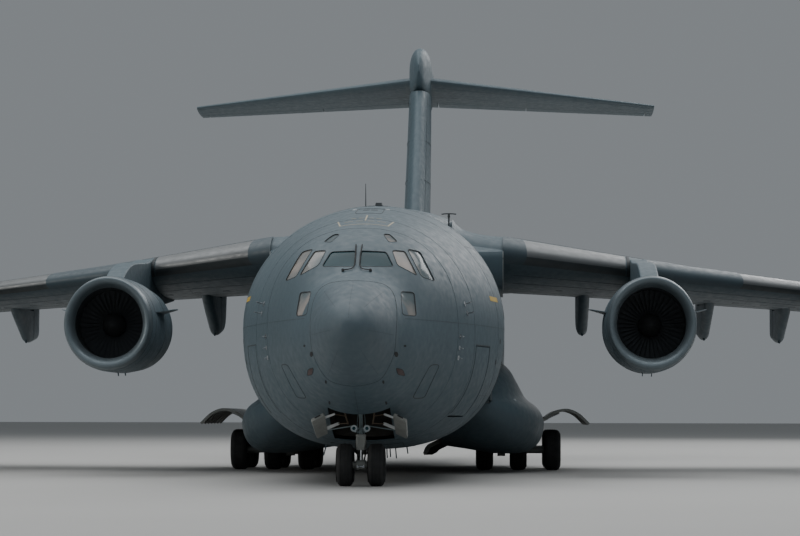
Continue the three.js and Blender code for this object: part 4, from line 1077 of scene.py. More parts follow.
def shaped(shape):
    """An intake that is narrower and taller than round, and round again where the fan turns."""
    points = []
    for x, y, z in shape[0]:
        radius = math.hypot(x, z)
        depth = clamped((LIP_RADIUS - radius) / (LIP_RADIUS - THROAT_RADIUS))
        fading = 1 - (y - FADE_START) / (FADE_END - FADE_START)
        returning = (y - RETURN_START) / (RETURN_END - RETURN_START)
        share = 1.0 if radius >= OUTSIDE or y >= RETURN_END else clamped(max(fading, returning))
        wide = 1 - NARROWER * (1 - depth) * share
        tall = 1 + (TALLER + THROAT_TALLER * depth) * share if z > 0 else 1.0
        points.append((x * wide, y, z * tall))
    return points, shape[1]


cowl_path = flipped(flat_path(COWL, 5) + flat_path(DUCT, 5))
nacelle_wall = spun("y", [(1150, 120), (1262, 290), *cowl_path, (1000, 425)], steps=96, wrapped=True)
lip_ring = spun("y", flipped(LIP), steps=96, wrapped=True)
liner_ring = spun("y", flipped(LINER), steps=96, wrapped=True)
STRAKE = [(900, 1225), (2500, 1225), (2470, 1660), (2400, 1710), (2250, 1714), (1900, 1640), (1400, 1430)]
STRAKE_ANGLE = 73.6  # from the top of the cowl
strakes = whole([turned_by(prism("x", STRAKE, -9, 9), "Y", side * STRAKE_ANGLE) for side in SIDES])
DRAIN = [(0, -1280), (150, -1280), (190, -1385), (110, -1385)]
drains = whole([moved(prism("x", DRAIN, -11, 11), (x, y, 0)) for x, y in ((-140, 2350), (150, 2900))])
CORE = [(1621, 4), (1621, 150), (1760, 170), (1780, 480), (2100, 650), (2500, 750), (3000, 785), (3500, 780),
        (4400, 700), (5600, 560), (5605, 520), (5450, 470), (5440, 400), (5700, 370), (6200, 230),
        (6480, 90), (6500, 4)]
core_shape = spun("y", flipped(CORE), steps=72)


def fan_blade(index):
    angle = 360.0 * index / FAN["blades"]
    rings = []
    for t in spaced(0, 1, 5):
        r = FAN["hub"] - 40 + (FAN["tip"] - FAN["hub"] + 40) * t
        stagger = math.radians(28 + 30 * t)
        chord, half = 100 + 70 * t, 15 - 9 * t
        ring = []
        for across, along in ((0, -1), (1, -0.5), (1, 0.3), (0, 1), (-0.6, 0.3), (-0.6, -0.5)):
            a, b = across * half, along * chord
            side = a * math.cos(stagger) + b * math.sin(stagger)
            y = (FAN["y0"] + FAN["y1"]) / 2 + b * math.cos(stagger) - a * math.sin(stagger)
            ring.append((side, y, r))
        rings.append(ring)
    return turned_by(loft(rings), "Y", angle)


fan_shape = [fan_blade(i) for i in range(FAN["blades"])]
spinner = [(4, 815), (70, 850), (150, 940), (235, 1060), (300, 1190), (FAN["hub"], FAN["y0"]),
           (FAN["hub"], FAN["y1"]), (4, FAN["y1"])]
hub_shape = spun("y", spinner, steps=64)
GUIDE_VANES = 72


def guide_vane(index):
    ring = [(-8, 2060), (8, 2060), (92, 2400), (76, 2400)]
    rings = [[(x, y, r) for x, y in ring] for r in (560, 1100)]
    return turned_by(loft(rings), "Y", 360.0 * index / GUIDE_VANES)


vanes = [guide_vane(i) for i in range(GUIDE_VANES)]
COWL_SEALS = (
    [(1285, 868), (1307, 868), (1308, 884), (1285, 884)],
    [(1288, 2740), (1311, 2740), (1310, 2785), (1288, 2785)],
    [(1262, 299), (1282, 299), (1283, 309), (1262, 309)],
)
seal = whole([spun("y", profile, steps=96, wrapped=True) for profile in COWL_SEALS])
PYLON_HALF = 260
for engine in ENGINES:
    here = (engine["x"], engine["lip_y"], engine["z"])
    name = engine["name"]
    skin = moved([shaped(nacelle_wall), strakes, drains], here)
    put_pair(f"nacelle_skin_{name}", skin, "paint", replaces=[f"nacelle_{name}"])
    # the liner's near-black colour is painted shade inside the intake
    put_pair(f"intake_liner_{name}", moved(shaped(liner_ring), here), "duct")
    put_pair(f"intake_lip_{name}", moved(shaped(lip_ring), here), "lip")
    put_pair(f"core_cowl_{name}", moved(core_shape, here), "hot", replaces=[f"engine_core_{name}"])
    put_pair(f"fan_disc_{name}", moved(fan_shape, here), "blade", f"fan_{name}", [f"fan_{name}"])
    put_pair(f"fan_spinner_{name}", moved(hub_shape, here), "spinner", f"fan_{name}")
    # guide vanes in near black: painted shade behind the fan
    put_pair(f"guide_vanes_{name}", moved(vanes, here), "dark")
    put_pair(f"cowl_seams_{name}", moved(shaped(seal), here), "seam")
    leading = wing_at(engine["x"])
    le_y, le_z = leading["le_y"] - engine["lip_y"], leading["le_z"] - engine["z"]
    back = foil_point(leading, 0.6, -foil_half(0.6, leading["thick"]))
    back_y, back_z = back[1] - engine["lip_y"], back[2] - engine["z"]
    top = flat_path([
        (1000, 1250), (2000, 1600), (3200, le_z - 40), (le_y - 900, le_z + 150),
        (le_y + 150, le_z + 300), (le_y + 1000, le_z + 340),
    ], 4)
    low = flat_path([(back_y, back_z - 40), (le_y + 900, 760), (5900, 560), (2600, 600)], 4)
    outline = top + [(le_y + 1300, le_z), (back_y, back_z + 200)] + low + [(2600, 1250), (1000, 1250)]
    placed = [(u + engine["lip_y"], v + engine["z"]) for u, v in outline]
    pylon = prism("x", placed, engine["x"] - PYLON_HALF, engine["x"] + PYLON_HALF)
    put_pair(f"pylon_skin_{name}", pylon, "paint", replaces=[f"pylon_{name}"], bevel=90, segments=4)

# Sponsons
SPONSON_OUTLINE = [
    (3150, 3500), (3560, 3150), (3830, 2700), (4080, 2250), (4440, 1960), (4620, 1640), (4640, 1320),
    (4500, 900), (4180, 630), (3700, 545), (3000, 570), (2300, 680), (1500, 800),
]
SPONSON = rows_of("y fullness", [
    (16800, 0.25),
    (18200, 0.72),
    (19800, 0.93),
    (21800, 1),
    (28300, 1),
    (29900, 0.93),
    (31200, 0.75),
    (31600, 0.3),
])
WELL = {"x0": 800, "x1": 5200, "y0": 22350, "y1": 27500, "ceiling": 1960}
sponson_curve = flat_path(SPONSON_OUTLINE, 4)
sponson_curve.append((1500, 2400))
sponson_rings = []
for y in spaced(SPONSON[0]["y"], SPONSON[-1]["y"], 48):
    full = smooth(SPONSON, "y", y)["fullness"]
    sponson_rings.append([(1900 + (x - 1900) * full, y, 2300 + (z - 2300) * full) for x, z in sponson_curve])
well = block((WELL["x0"], WELL["x1"]), (WELL["y0"], WELL["y1"]), (0, WELL["ceiling"]))
around_body = body(FORWARD_SEAM, 36000, -4)
sponson = carve(loft(sponson_rings), well, around_body)
put_pair("sponson_skin", sponson, "paint", replaces=["sponson"])

# Wheels
MAIN = {"radius": 635, "half": 266, "axle": 90, "rim": 300, "grooves": (-0.42, -0.14, 0.14, 0.42)}
NOSE = {"radius": 508, "half": 203, "axle": 60, "rim": 250, "grooves": (-0.4, 0, 0.4)}
MAIN_X = (2800, 3868, 4930)
MAIN_ROWS = (("front", 23490), ("rear", 26280))
MAIN_LEG_X = 3334
NOSE_X = 376
NOSE_Y = 4855


def tyre(wheel, x):
    r, w, rim = wheel["radius"], wheel["half"], wheel["rim"]
    side = [(rim * 0.98, 0.62), (rim * 1.12, 0.84), (rim * 1.35, 0.98), ((rim + r) / 2 + 40, 1.0),
            (r - 105, 0.95), (r - 50, 0.84), (r - 18, 0.68), (r - 5, 0.56)]
    tread = []
    for groove in wheel["grooves"]:
        for shift, drop in ((0.035, 0), (0.032, 14), (-0.032, 14), (-0.035, 0)):
            tread.append((r - drop - 8 * groove**2, groove + shift))
    across = [*side, *sorted(tread, key=lambda point: -point[1]), *[(a, -b) for a, b in reversed(side)]]
    return spun("x", [(radius, x + part * w) for radius, part in across], steps=96, wrapped=True)


def hub(wheel, x, outer):
    rim, w, axle = wheel["rim"], wheel["half"], wheel["axle"]
    profile = [(axle, outer * 0.62), (axle * 1.7, outer * 0.62), (axle * 1.9, outer * 0.4),
               (rim * 0.72, outer * 0.3), (rim * 0.9, outer * 0.5), (rim * 1.04, outer * 0.66),
               (rim * 1.04, outer * 0.56), (rim * 0.96, outer * 0.2), (rim * 0.96, -outer * 0.6),
               (rim * 0.8, -outer * 0.6), (rim * 0.8, -outer * 0.1), (axle, -outer * 0.1)]
    shape = spun("x", [(radius, x + part * w) for radius, part in profile], steps=64, wrapped=True)
    bolts = []
    for angle in turns(10):
        y, z = rim * 0.58 * math.cos(angle), rim * 0.58 * math.sin(angle)
        bolts.append(rod((x + outer * 0.28 * w, y, z), (x + outer * 0.46 * w, y, z), 15, 6))
    return merged(shape, *bolts)


def brake(wheel, x, outer):
    rim, w = wheel["rim"], wheel["half"]
    discs = []
    for k in range(4):
        near = x - outer * w * (0.2 + 0.12 * k)
        discs.append(rod((near, 0, 0), (near - outer * 18, 0, 0), rim * 0.74, 48))
    return merged(*discs)


for row, y in MAIN_ROWS:
    here = (0, y, MAIN["radius"])
    node = f"main_wheels_{row}"
    tyres = [tyre(MAIN, x) for x in MAIN_X]
    put_pair(f"main_tyres_{row}", moved(tyres, here), "rubber", node, [node], sharp=40)
    hubs = [hub(MAIN, x, -1 if x < MAIN_LEG_X else 1) for x in MAIN_X]
    axles = [
        rod((MAIN_X[0] - 210, 0, 0), (MAIN_LEG_X - 131, 0, 0), 110, 32),
        rod((MAIN_LEG_X + 131, 0, 0), (MAIN_X[-1] + 210, 0, 0), 110, 32),
        rod((MAIN_LEG_X - 135, 0, 0), (MAIN_LEG_X + 135, 0, 0), 88, 32),
    ]
    put_pair(f"main_hubs_{row}", moved([*hubs, *axles], here), "gear", node)
    brakes = [brake(MAIN, x, -1 if x < MAIN_LEG_X else 1) for x in MAIN_X]
    put_pair(f"main_brakes_{row}", moved(brakes, here), "brake", node)
here = (0, NOSE_Y, NOSE["radius"])
put("nose_tyres", moved([tyre(NOSE, hand * NOSE_X) for hand in SIDES], here), "rubber", "nose_wheels",
    ["nose_wheels"], sharp=40)
nose_axle = [rod((hand * 121, 0, 0), (hand * (NOSE_X + 120), 0, 0), 88, 32) for hand in SIDES]
nose_axle.append(rod((-125, 0, 0), (125, 0, 0), 58, 32))
nose_hubs = [hub(NOSE, hand * NOSE_X, hand) for hand in SIDES]
put("nose_hubs", moved([*nose_hubs, *nose_axle], here), "gear", "nose_wheels")

# Windows: panes just under the skin, dark seals round them, and wipers parked at the centre post
PANE_INSET = (18, 40)
glass_shell = carve(body(2450, 6300, PANE_INSET[0]), body(2400, 6400, PANE_INSET[1]))
panes = []
for outline in window_outlines:
    pane = common(glass_shell, prism("y", grown(outline, 30), 2300, 6300))
    panes.append(merged(pane, mirrored(pane, -1)))
put("windscreens", panes[0], "pane", replaces=["flight_deck_glazing"])
put("side_windows", panes[1:], "side_pane_reflection")
seals = [trace("front", outline, 17, hand=hand, lift=4, step=60)
         for outline in window_outlines for hand in SIDES]
put("window_seals", seals, "seam")


def lifted(view, points, lift, hand=1):
    result = []
    for a, b in points:
        point = Vector(on_skin(view, a, b, hand))
        result.append(tuple(point + lift * outward(point)))
    return result


wiper_parts = []
for hand in SIDES:
    arm = flat_path([(320, 5040), (200, 5052), (105, 5085), (64, 5170), (58, 5300)], 5)
    wiper_parts.append(hose(lifted("front", arm, 32, hand), 12))
    blade = [(58, 5230), (57, 5350), (60, 5470), (66, 5600), (74, 5700)]
    wiper_parts.append(hose(lifted("front", blade, 24, hand), 15, 8))
    foot = lifted("front", [(322, 5036), (318, 5046)], 0, hand)[0]
    wiper_parts.append(rod(foot, tuple(a + b for a, b in zip(foot, (0, -55, 30))), 32, 16))
put("wipers", wiper_parts, "dark")

# Radome seam, lightning strips and the centre seams of the nose
SEAM = [(0, 4752), (450, 4738), (690, 4680), (850, 4540), (945, 4300), (985, 3960), (975, 3550), (940, 3154),
        (810, 2800), (600, 2505), (300, 2385), (0, 2345)]
for word, hand in HANDS:
    seam = trace("front", flat_path(SEAM, 4), 13, closed=False, hand=hand, lift=3)
    put(f"radome_seam_{word}", seam, "seam")
STRIPS = ([(690, 4520), (330, 4090)], [(930, 3500), (420, 3560)], [(560, 2620), (250, 3120)])
strips = [seam_line("front", [(0, 4730), (0, 3830)], 9)]
for hand in SIDES:
    strips += [seam_line("front", ends, 9, hand) for ends in STRIPS]
put("lightning_strips", strips, "faint")
put("nose_centre_seam", trace("under", [(0, 2300), (0, 3900)], 12, closed=False, lift=3), "faint")

# Skin seams, hatches and doors
RING_SEAMS = (6640, FORWARD_SEAM, 11300, 13400, 15500, 20200, 25400, 30600)
AFT_RING_SEAMS = (33550, 35600, 38200, 41200, 44500, 46800)
LONG_SEAMS = (
    ("side", [(2300, 3905), (9300, 3945), (31600, 3945), (44000, 5600)]),
    ("side", [(9100, 6050), (30600, 6150), (44000, 6650)]),
    ("side", [(8200, 2200), (16700, 2200)]),
    ("under", [(520, 6600), (560, 22000)]),
)
seam_lines = [ring_line(5350, -50, 230, width=12)]
seam_lines += [ring_line(y) for y in RING_SEAMS]
seam_lines += [ring_line(y, -4, 184) for y in AFT_RING_SEAMS]
for hand in SIDES:
    seam_lines += [seam_line(view, line, 13, hand) for view, line in LONG_SEAMS]
put("skin_seams", seam_lines, "faint")
ramp_lines = [ring_line(y, 232, 308, 60) for y in (33600, 35700)]
put("ramp_seams", ramp_lines, "faint", "cargo_ramp")
door_lines = [ring_line(y, 240, 300, 50) for y in (39900, 42000)]
put("cargo_door_seams", door_lines, "faint", "cargo_door")

HATCH = [(1694, 2885), (1899, 2897), (1524, 2105), (1252, 2088)]
door = CREW_DOOR
FRAME_GAP, FRAME_FOOT = 34, 60
frame_y = (door["y0"] - FRAME_GAP, door["y1"] + FRAME_GAP)
frame_z = (door["z0"] + FRAME_FOOT, door["z1"] + FRAME_GAP)
door_frame = [(frame_y[0], frame_z[0]), (frame_y[0], frame_z[1]), (frame_y[1], frame_z[1]),
              (frame_y[1], frame_z[0])]
HATCHES = rows_of("view outline width radius", [
    ("front", HATCH, 20, 90),
    ("side", rectangle(32300, 33400, 2150, 4150), 20, 120),
    ("side", rectangle(10300, 11500, 2300, 3100), 14, 80),
    ("side", rectangle(16200, 17000, 5000, 5700), 14, 80),
    ("under", rectangle(250, 900, 7300, 8600), 14, 60),
    ("under", rectangle(200, 1100, 10100, 12200), 14, 80),
])
openings = [trace("top", rectangle(-300, 300, 11100, 11900), 16, radius=80)]
for hand in SIDES:
    openings.append(trace("side", door_frame, 20, False, hand=hand))
    for row in HATCHES:
        openings.append(trace(row["view"], row["outline"], row["width"], radius=row["radius"], hand=hand))
put("hatch_outlines", openings, "seam")

PORTHOLES = ((12300, 4420), (32850, 3500), (20500, 4420))


def disc_outline(a, b, radius, squash=1.0, steps=20):
    return [(a + radius * math.cos(t), b + squash * radius * math.sin(t)) for t in turns(steps)]


ports = [patch("side", disc_outline(y, z, 115), 4, hand=hand) for y, z in PORTHOLES for hand in SIDES]
put("portholes", ports, "side_pane_reflection")
port_rims = [trace("side", disc_outline(y, z, 128), 24, hand=hand, lift=7, step=400)
             for y, z in PORTHOLES for hand in SIDES]
put("porthole_rims", port_rims, "seam")

# Small fittings of the nose and body: lamp covers, static ports, probes and marks
LAMP_COVER = [(945, 2772), (1090, 2745), (1135, 2600), (985, 2625)]
STATIC_PORTS = rows_of("view a b radius squash lift", [
    ("front", 968, 3075, 40, 1.5, 5),
    ("front", 1156, 3276, 26, 1, 4),
    ("front", 660, 2450, 22, 1.8, 4),
    ("front", 666, 1980, 24, 1.6, 4),
    ("side", 9000, 3060, 45, 1.6, 4),
    ("side", 9400, 3600, 40, 1.6, 4),
])


def probe_path(base, away, steps):
    """Points from a probe's foot: each is a height off the skin and a distance aft."""
    return [tuple(base + height * away + Vector((0, aft, 0))) for height, aft in steps]


covers, dots, probes = [], [], []
for hand in SIDES:
    covers.append(patch("front", LAMP_COVER, 6, radius=40, hand=hand))
    for port in STATIC_PORTS:
        outline = disc_outline(port["a"], port["b"], port["radius"], port["squash"])
        dots.append(patch(port["view"], outline, port["lift"], hand=hand))
    for y, z in ((5990, 4418), (6080, 4190)):
        base = Vector(on_skin("side", y, z, hand))
        away = outward(base)
        probes.append(hose(probe_path(base, away, ((-20, 0), (90, 0), (150, -40), (150, -300))), 15, 12))
        probes.append(rod(tuple(base - 8 * away), tuple(base + 8 * away), 62, 24))
    for y, z in ((5490, 3602), (5490, 3321), (5510, 3084)):
        base = Vector(on_skin("side", y, z, hand))
        away = outward(base)
        probes.append(rod(tuple(base - 8 * away), tuple(base + 9 * away), 58, 24))
        probes.append(hose(probe_path(base, away, ((0, 0), (80, 0), (95, 130))), 11, 8))
put("lamp_covers", covers, "dark_red")
put("static_ports", dots, "dark")
put("air_probes", probes, "steel")
frames = [trace("front", LAMP_COVER, 15, radius=40, hand=hand, lift=8) for hand in SIDES]
put("lamp_cover_frames", frames, "seam")
tags = [seam_line("side", [(8500, 4675), (9440, 4675)], 125, hand) for hand in SIDES]
put("side_marks", tags, "yellow")

# Refuelling slipway on the roof, with its painted guide lines
GUIDE_LINES = (
    (34, [(0, 5870), (330, 5850), (585, 5850)]),
    (36, [(585, 5835), (690, 6620)]),
    (30, [(60, 6320), (230, 6320)]),
    (30, [(300, 6320), (510, 6320)]),
    (30, [(70, 6800), (190, 6800)]),
    (30, [(250, 6800), (385, 6800)]),
)
guides = [seam_line("top", [(0, 6380), (0, 7300)], 34)]
for hand in SIDES:
    guides += [seam_line("top", line, width, hand) for width, line in GUIDE_LINES]
put("slipway_lines", guides, "tan")
SLIPWAY_FRAME = [(0, 7750), (300, 7750), (345, 8000), (345, 9300), (0, 9300)]
slipway = [patch("top", rectangle(20, 190, 8600, 8760), 4, hand=hand) for hand in SIDES]
put("slipway_door_marks", slipway, "seam")
frames = [trace("top", SLIPWAY_FRAME, 16, False, hand=hand) for hand in SIDES]
put("slipway_frame", frames, "seam")
roof_lamps = []
for hand in SIDES:
    base = on_skin("top", 430, 9065, hand)
    roof_lamps.append(lamp_dome(base, outward(base), 55, 26))
put("slipway_lamps", roof_lamps, "lens")

# Aerials, beacons and drain masts
AERIAL_RAKE = 0.35


def blade_aerial(x, y, height, chord, view="top", thick=14):
    base = Vector(on_skin(view, abs(x), y, 1 if x >= 0 else -1))
    away = outward(base)
    rings = []
    for t in (-0.06, 0.35, 0.8, 1.0):
        length = chord * (1 - 0.45 * t) / 2
        middle = base + away * height * t + Vector((0, AERIAL_RAKE * height * t, 0))
        side = Vector((0, 1, 0)).cross(away).normalized() * thick
        fore = Vector((0, length, 0))
        rings.append([tuple(middle + fore * math.cos(a) + side * math.sin(a)) for a in turns(14)])
    return loft(rings)


AERIALS = [(0, 33500, 300, 320), (0, 29800, 240, 280)]
MASTS = [(-1360, 12400, 385, 190), (297, 11500, 260, 130), (368, 11800, 245, 120), (481, 12600, 300, 110),
         (800, 12300, 200, 200)]
aerials = [blade_aerial(x, y, height, chord) for x, y, height, chord in AERIALS]
aerials += [blade_aerial(x, y, height, chord, "under", 17) for x, y, height, chord in MASTS]
put("blade_aerials", aerials, "paint")
whip = Vector(on_skin("top", 300, 11800, -1))
whip_rod = rod(tuple(whip - Vector((0, 0, 20))), tuple(whip + Vector((-6, 15, 620))), 15, 12, 7)
crown_box = loft([[(x + 20, y, z) for x, y, z in ring] for ring in (
    [(-95, 12300, 7390), (95, 12300, 7390), (95, 12700, 7390), (-95, 12700, 7390)],
    [(-80, 12330, 7470), (80, 12330, 7470), (80, 12680, 7480), (-80, 12680, 7480)],
)])
mast = Vector(on_skin("top", 1890, 14000))
t_aerial = [
    rod(tuple(mast - Vector((0, 0, 30))), tuple(mast + Vector((0, 0, 330))), 22, 16),
    rod(tuple(mast + Vector((0, 0, 250))), tuple(mast + Vector((0, 0, 345))), 40, 16, 26),
    hose([tuple(mast + Vector((dx, 0, 352 - 0.00035 * dx * dx)))
          for dx in (-205, -110, 0, 110, 205)], 17, 10),
]
put("roof_masts", [whip_rod, crown_box, *t_aerial], "seam", bevel=6)
BEACONS = (("top", 32400), ("under", 18700))
feet = [on_skin(view, 0, y) for view, y in BEACONS]
beacons = [lamp_dome(foot, outward(foot), 70, 90) for foot in feet]
put("beacons", beacons, "red_lens")

# Leading edges: metal slats between painted gloves, each with a dark band below: a darker copy of the slat
# metal, painted shade on its downward face
LAST = 16


def edge_band(x0, x1, start, end, lift, round_end=0):
    """A thin shell round the leading edge, between two shares of the chord: less than 0 is above."""
    top, widest = (math.copysign(math.sqrt(abs(part)), part) for part in (start, end))
    bend = [x1 - round_end * (1 - k / 8) for k in range(8)] if round_end else []
    rings = []
    for x in sorted([x0, *[row["x"] for row in WING if x0 < row["x"] < x1], *bend, x1]):
        section = wing_at(x)
        past = max(0.0, 1 - (x1 - x) / round_end) if round_end else 0.0
        narrow = math.sqrt(1 - min(past, 0.985) ** 2)
        first, final = top * narrow, widest * narrow
        curve = []
        for r in spaced(first, final, LAST):
            curve.append(Vector((r * r, -math.copysign(foil_half(r * r, section["thick"]), r))))
        outer, inner = [], []
        for i, here in enumerate(curve):
            ahead = curve[min(i + 1, LAST)] - curve[max(i - 1, 0)]
            normal = Vector((ahead.y, -ahead.x)).normalized()
            for line, offset in ((outer, lift), (inner, -10.0)):
                line.append(foil_point(section, *(here + normal * offset / section["chord"])))
        rings.append(outer + inner[::-1])
    return loft(rings)


SLATS = ((3900, 7050), (10450, 13560), (14340, 17400), (17450, 20900), (20950, 24400))
GLOVES = ((3392, 4090), (7712, 10725), (13562, 13686), (14214, 14338))
GLOVE_ROUND = 220
SLAT_TOP, SLAT_MIDDLE, SLAT_LOW = -0.085, 0.0012, 0.024
put_pair("slats", [edge_band(a, b, SLAT_TOP, SLAT_MIDDLE, 7) for a, b in SLATS], "metal")
# the dark band under each slat is painted shade
undersides = [edge_band(a, b, SLAT_MIDDLE, SLAT_LOW, 7) for a, b in SLATS]
put_pair("slat_undersides", undersides, "slat_metal_shaded")
gloves = []
for start, end in GLOVES:
    round_end = GLOVE_ROUND if end - start > 2 * GLOVE_ROUND else 0
    gloves.append(edge_band(start, end, SLAT_TOP, SLAT_LOW, 26, round_end))
put_pair("leading_edge_gloves", gloves, "glove", bevel=6)
put_pair("slat_end_strips", edge_band(7080, 7182, SLAT_TOP, SLAT_LOW, 12), "seam")


def surface_strip(section_at, corners, side, up, width, steps=None):
    """A line on one side of a surface, through points given as a place on its span and a share of
    its chord."""
    points = []
    for (x0, u0), (x1, u1) in zip(corners, corners[1:]):
        count = steps or max(8, math.ceil(abs(x1 - x0) / 300))
        points += list(zip(spaced(x0, x1, count), spaced(u0, u1, count)))[:-1]
    points.append(corners[-1])
    places = []
    for x, u in points:
        section = section_at(x)
        places.append(foil_point(section, u, side * foil_half(u, section["thick"])))
    return ribbon(places, [Vector(up)] * len(places), width)


def wing_strip(corners, side, width):
    return surface_strip(wing_at, corners, side, (0, 0, side), width)


def wing_box(x0, x1, u0, u1, side, width):
    return wing_strip([(x0, u0), (x1, u0), (x1, u1), (x0, u1), (x0, u0)], side, width)


SPOILERS = ((4520, 7380), (7430, 10940), (11060, 14120), (14170, 17360))
SPOILER_SHARES = (0.56, 0.652)
wing_lines = [wing_box(a, b, *SPOILER_SHARES, 1, 13) for a, b in SPOILERS]
wing_lines += [wing_strip([(3700, u), (24400, u)], side, 12) for u, side in ((0.13, 1), (0.1, -1))]
wing_lines += [wing_strip([(x, 0.0875), (x, 0.13)], 1, 10) for pair in SLATS for x in pair]
put_pair("wing_seams", wing_lines, "seam")
PANELS = {"x0": 5000, "x1": 23600, "step": 930, "width": 210, "length": 300, "share": 0.29}
SPAN_LINES = ((1, 0.24), (1, 0.4), (-1, 0.2), (-1, 0.4), (-1, 0.62))
RIB_LINES = (6200, 9000, 11000, 14100, 17450, 20500, 23000)
faint_lines = [wing_strip([(3700, u), (24500, u)], side, 9) for side, u in SPAN_LINES]
for x in RIB_LINES:
    faint_lines.append(wing_strip([(x, 0.13), (x, 0.555)], 1, 9))
    faint_lines.append(wing_strip([(x, 0.1), (x, 0.64)], -1, 9))
for x in range(PANELS["x0"], PANELS["x1"], PANELS["step"]):
    deep = PANELS["length"] / wing_at(x)["chord"]
    faint_lines.append(wing_box(x, x + PANELS["width"], PANELS["share"], PANELS["share"] + deep, -1, 8))
put_pair("wing_panel_lines", faint_lines, "faint")
put_pair("walkway_lines", wing_box(4100, 10900, 0.15, 0.54, 1, 26), "seam")

# Fairing in front of and under the wing root, which ends in a light edge
DROOP_EDGE = [(17060, 6470), (17010, 6330), (17020, 6100), (17090, 5800), (17260, 5560), (17560, 5410),
              (18100, 5360)]
DROOP_REST = [(20500, 5420), (23500, 5470), (26400, 5600), (27900, 5790), (27900, 5950), (20000, 6500),
              (18000, 6800)]
DROOP_SWEEP = 0.53
DROOP_END = 3390
droop_curve = flat_path(DROOP_EDGE, 4) + DROOP_REST
droop_rings = []
for x, drop in ((2300, 60), (3000, 25), (DROOP_END, 0)):
    droop_rings.append([(x, y - DROOP_SWEEP * (DROOP_END - x), z - drop) for y, z in droop_curve])
put_pair("wing_root_droop", loft(droop_rings), "paint", bevel=12)
edge = [(DROOP_END + 3, y - 4, z) for y, z in droop_curve[:22]]
put_pair("wing_root_edge", hose(edge, 11, 8), "pale")

# Tail: panel on the lower rudder, lines, and the lamp at the end
PANEL_Z = (10630, 11120)
rings = []
for z in PANEL_Z:
    section = fin_at(z)
    ring = []
    for lift in (6, -8):
        shares = (0.73, 0.79, 0.85, 0.91, 0.965)
        rise, thick = lift / section["chord"], section["thick"]
        points = [foil_point(section, u, foil_half(u, thick) + rise) for u in shares]
        ring += points if lift > 0 else points[::-1]
    rings.append(ring)
put("rudder_panel", loft(rings), "pale", "rudder_lower")


def fin_strip(corners, hand, width):
    return surface_strip(fin_at, corners, hand, (hand, 0, 0), width, 10)


fin_lines = []
for hand in SIDES:
    fin_lines += [fin_strip([(7900, u), (14780, u)], hand, 12) for u in (0.09, 0.35, 0.62)]
    fin_lines += [fin_strip([(z, 0.02), (z, 0.62)], hand, 10) for z in (9100, 10900, 12600, 14300)]
put("fin_seams", fin_lines, "faint")


def tail_strip(corners, side, width):
    return surface_strip(tail_at, corners, side, (0, 0, side), width, 10)


tail_lines = []
for side in SIDES:
    tail_lines += [tail_strip([(600, u), (9800, u)], side, 11) for u in (0.08, 0.35, 0.58)]
    tail_lines += [tail_strip([(x, 0.03), (x, 0.62)], side, 9) for x in (2600, 4390, 6400, 8300)]
put_pair("tailplane_seams", tail_lines, "faint")
put("tail_lamp", lamp_dome((0, 52480, 15520), (0, 1, 0.1), 46, 60), "lens")

# Static wicks, and lamps at the wing's tips


def wick(point):
    return hose([point, tuple(a + b for a, b in zip(point, (0, 190, -8)))], 5, 6)


wicks = [wick(foil_point(wing_at(x), 0.995, 0)) for x in (18600, 20000, 21400, 22800, 23700)]
put_pair("aileron_wicks", wicks, "dark", "aileron")
wicks = [wick(foil_point(tail_at(x), 0.995, 0)) for x in (5400, 6700, 8000, 9200)]
put_pair("elevator_wicks", wicks, "dark", "elevator_outboard")
wicks = [wick(foil_point(fin_at(z), 0.995, 0)) for z in (12100, 12900, 13700)]
put("rudder_wicks", wicks, "dark", "rudder_upper")
for word, hand in HANDS:
    tip = foil_point(wing_at(24780), 0.0, 0)
    glass = lamp_dome((hand * tip[0], tip[1] + 30, tip[2]), (hand * 0.35, -1, 0), 62, 90)
    put(f"wing_tip_lamp_{word}", glass, "red_lens" if hand > 0 else "green_lens")

# Nose gear: the fixed leg with its brace and lamps
leg = [
    spun("z", [(4, 1242), (44, 1242), (44, 1700), (90, 1780), (90, 2400), (4, 2400)], (0, NOSE_Y, 0), 40),
    rod((-738, NOSE_Y, 2330), (738, NOSE_Y, 2330), 82, 32),
    rod((-738, 4040, 2150), (738, 4040, 2150), 50, 24),
    rod((0, NOSE_Y - 60, 1490), (0, 4040, 2150), 34, 16),
    block((-190, 190), (4712, 4750), (1366, 1394)),
    rod((-100, NOSE_Y, 1300), (100, NOSE_Y, 1300), 34, 20),
]
for hand in SIDES:
    leg += [
        hose(smooth_path([(hand * 70, 4930, 1250), (hand * 96, 4950, 1480), (hand * 70, 4930, 1800),
                          (hand * 80, 4900, 2200)]), 11),
        rod((hand * 62, NOSE_Y - 150, 1310), (hand * 62, NOSE_Y - 90, 1390), 15, 12),
    ]
put("nose_leg", leg, "strut", replaces=["nose_gear_leg"], bevel=5)
cups, glasses = [], []
for hand in SIDES:
    cup = [(4, 4712), (46, 4706), (74, 4668), (80, 4598), (80, 4590), (70, 4590), (70, 4604), (4, 4612)]
    cups.append(spun("y", cup, (hand * 155, 0, 1380), 40))
    cups.append(rod((hand * 155, 4735, 1380), (hand * 120, 4735, 1290), 22, 16))
    glasses.append(lamp_dome((hand * 155, 4601, 1380), (0, -1, 0), 40, 16))
put("nose_lamp_housings", cups, "lamp_rim")
put("nose_lamp_lenses", glasses, "pane")

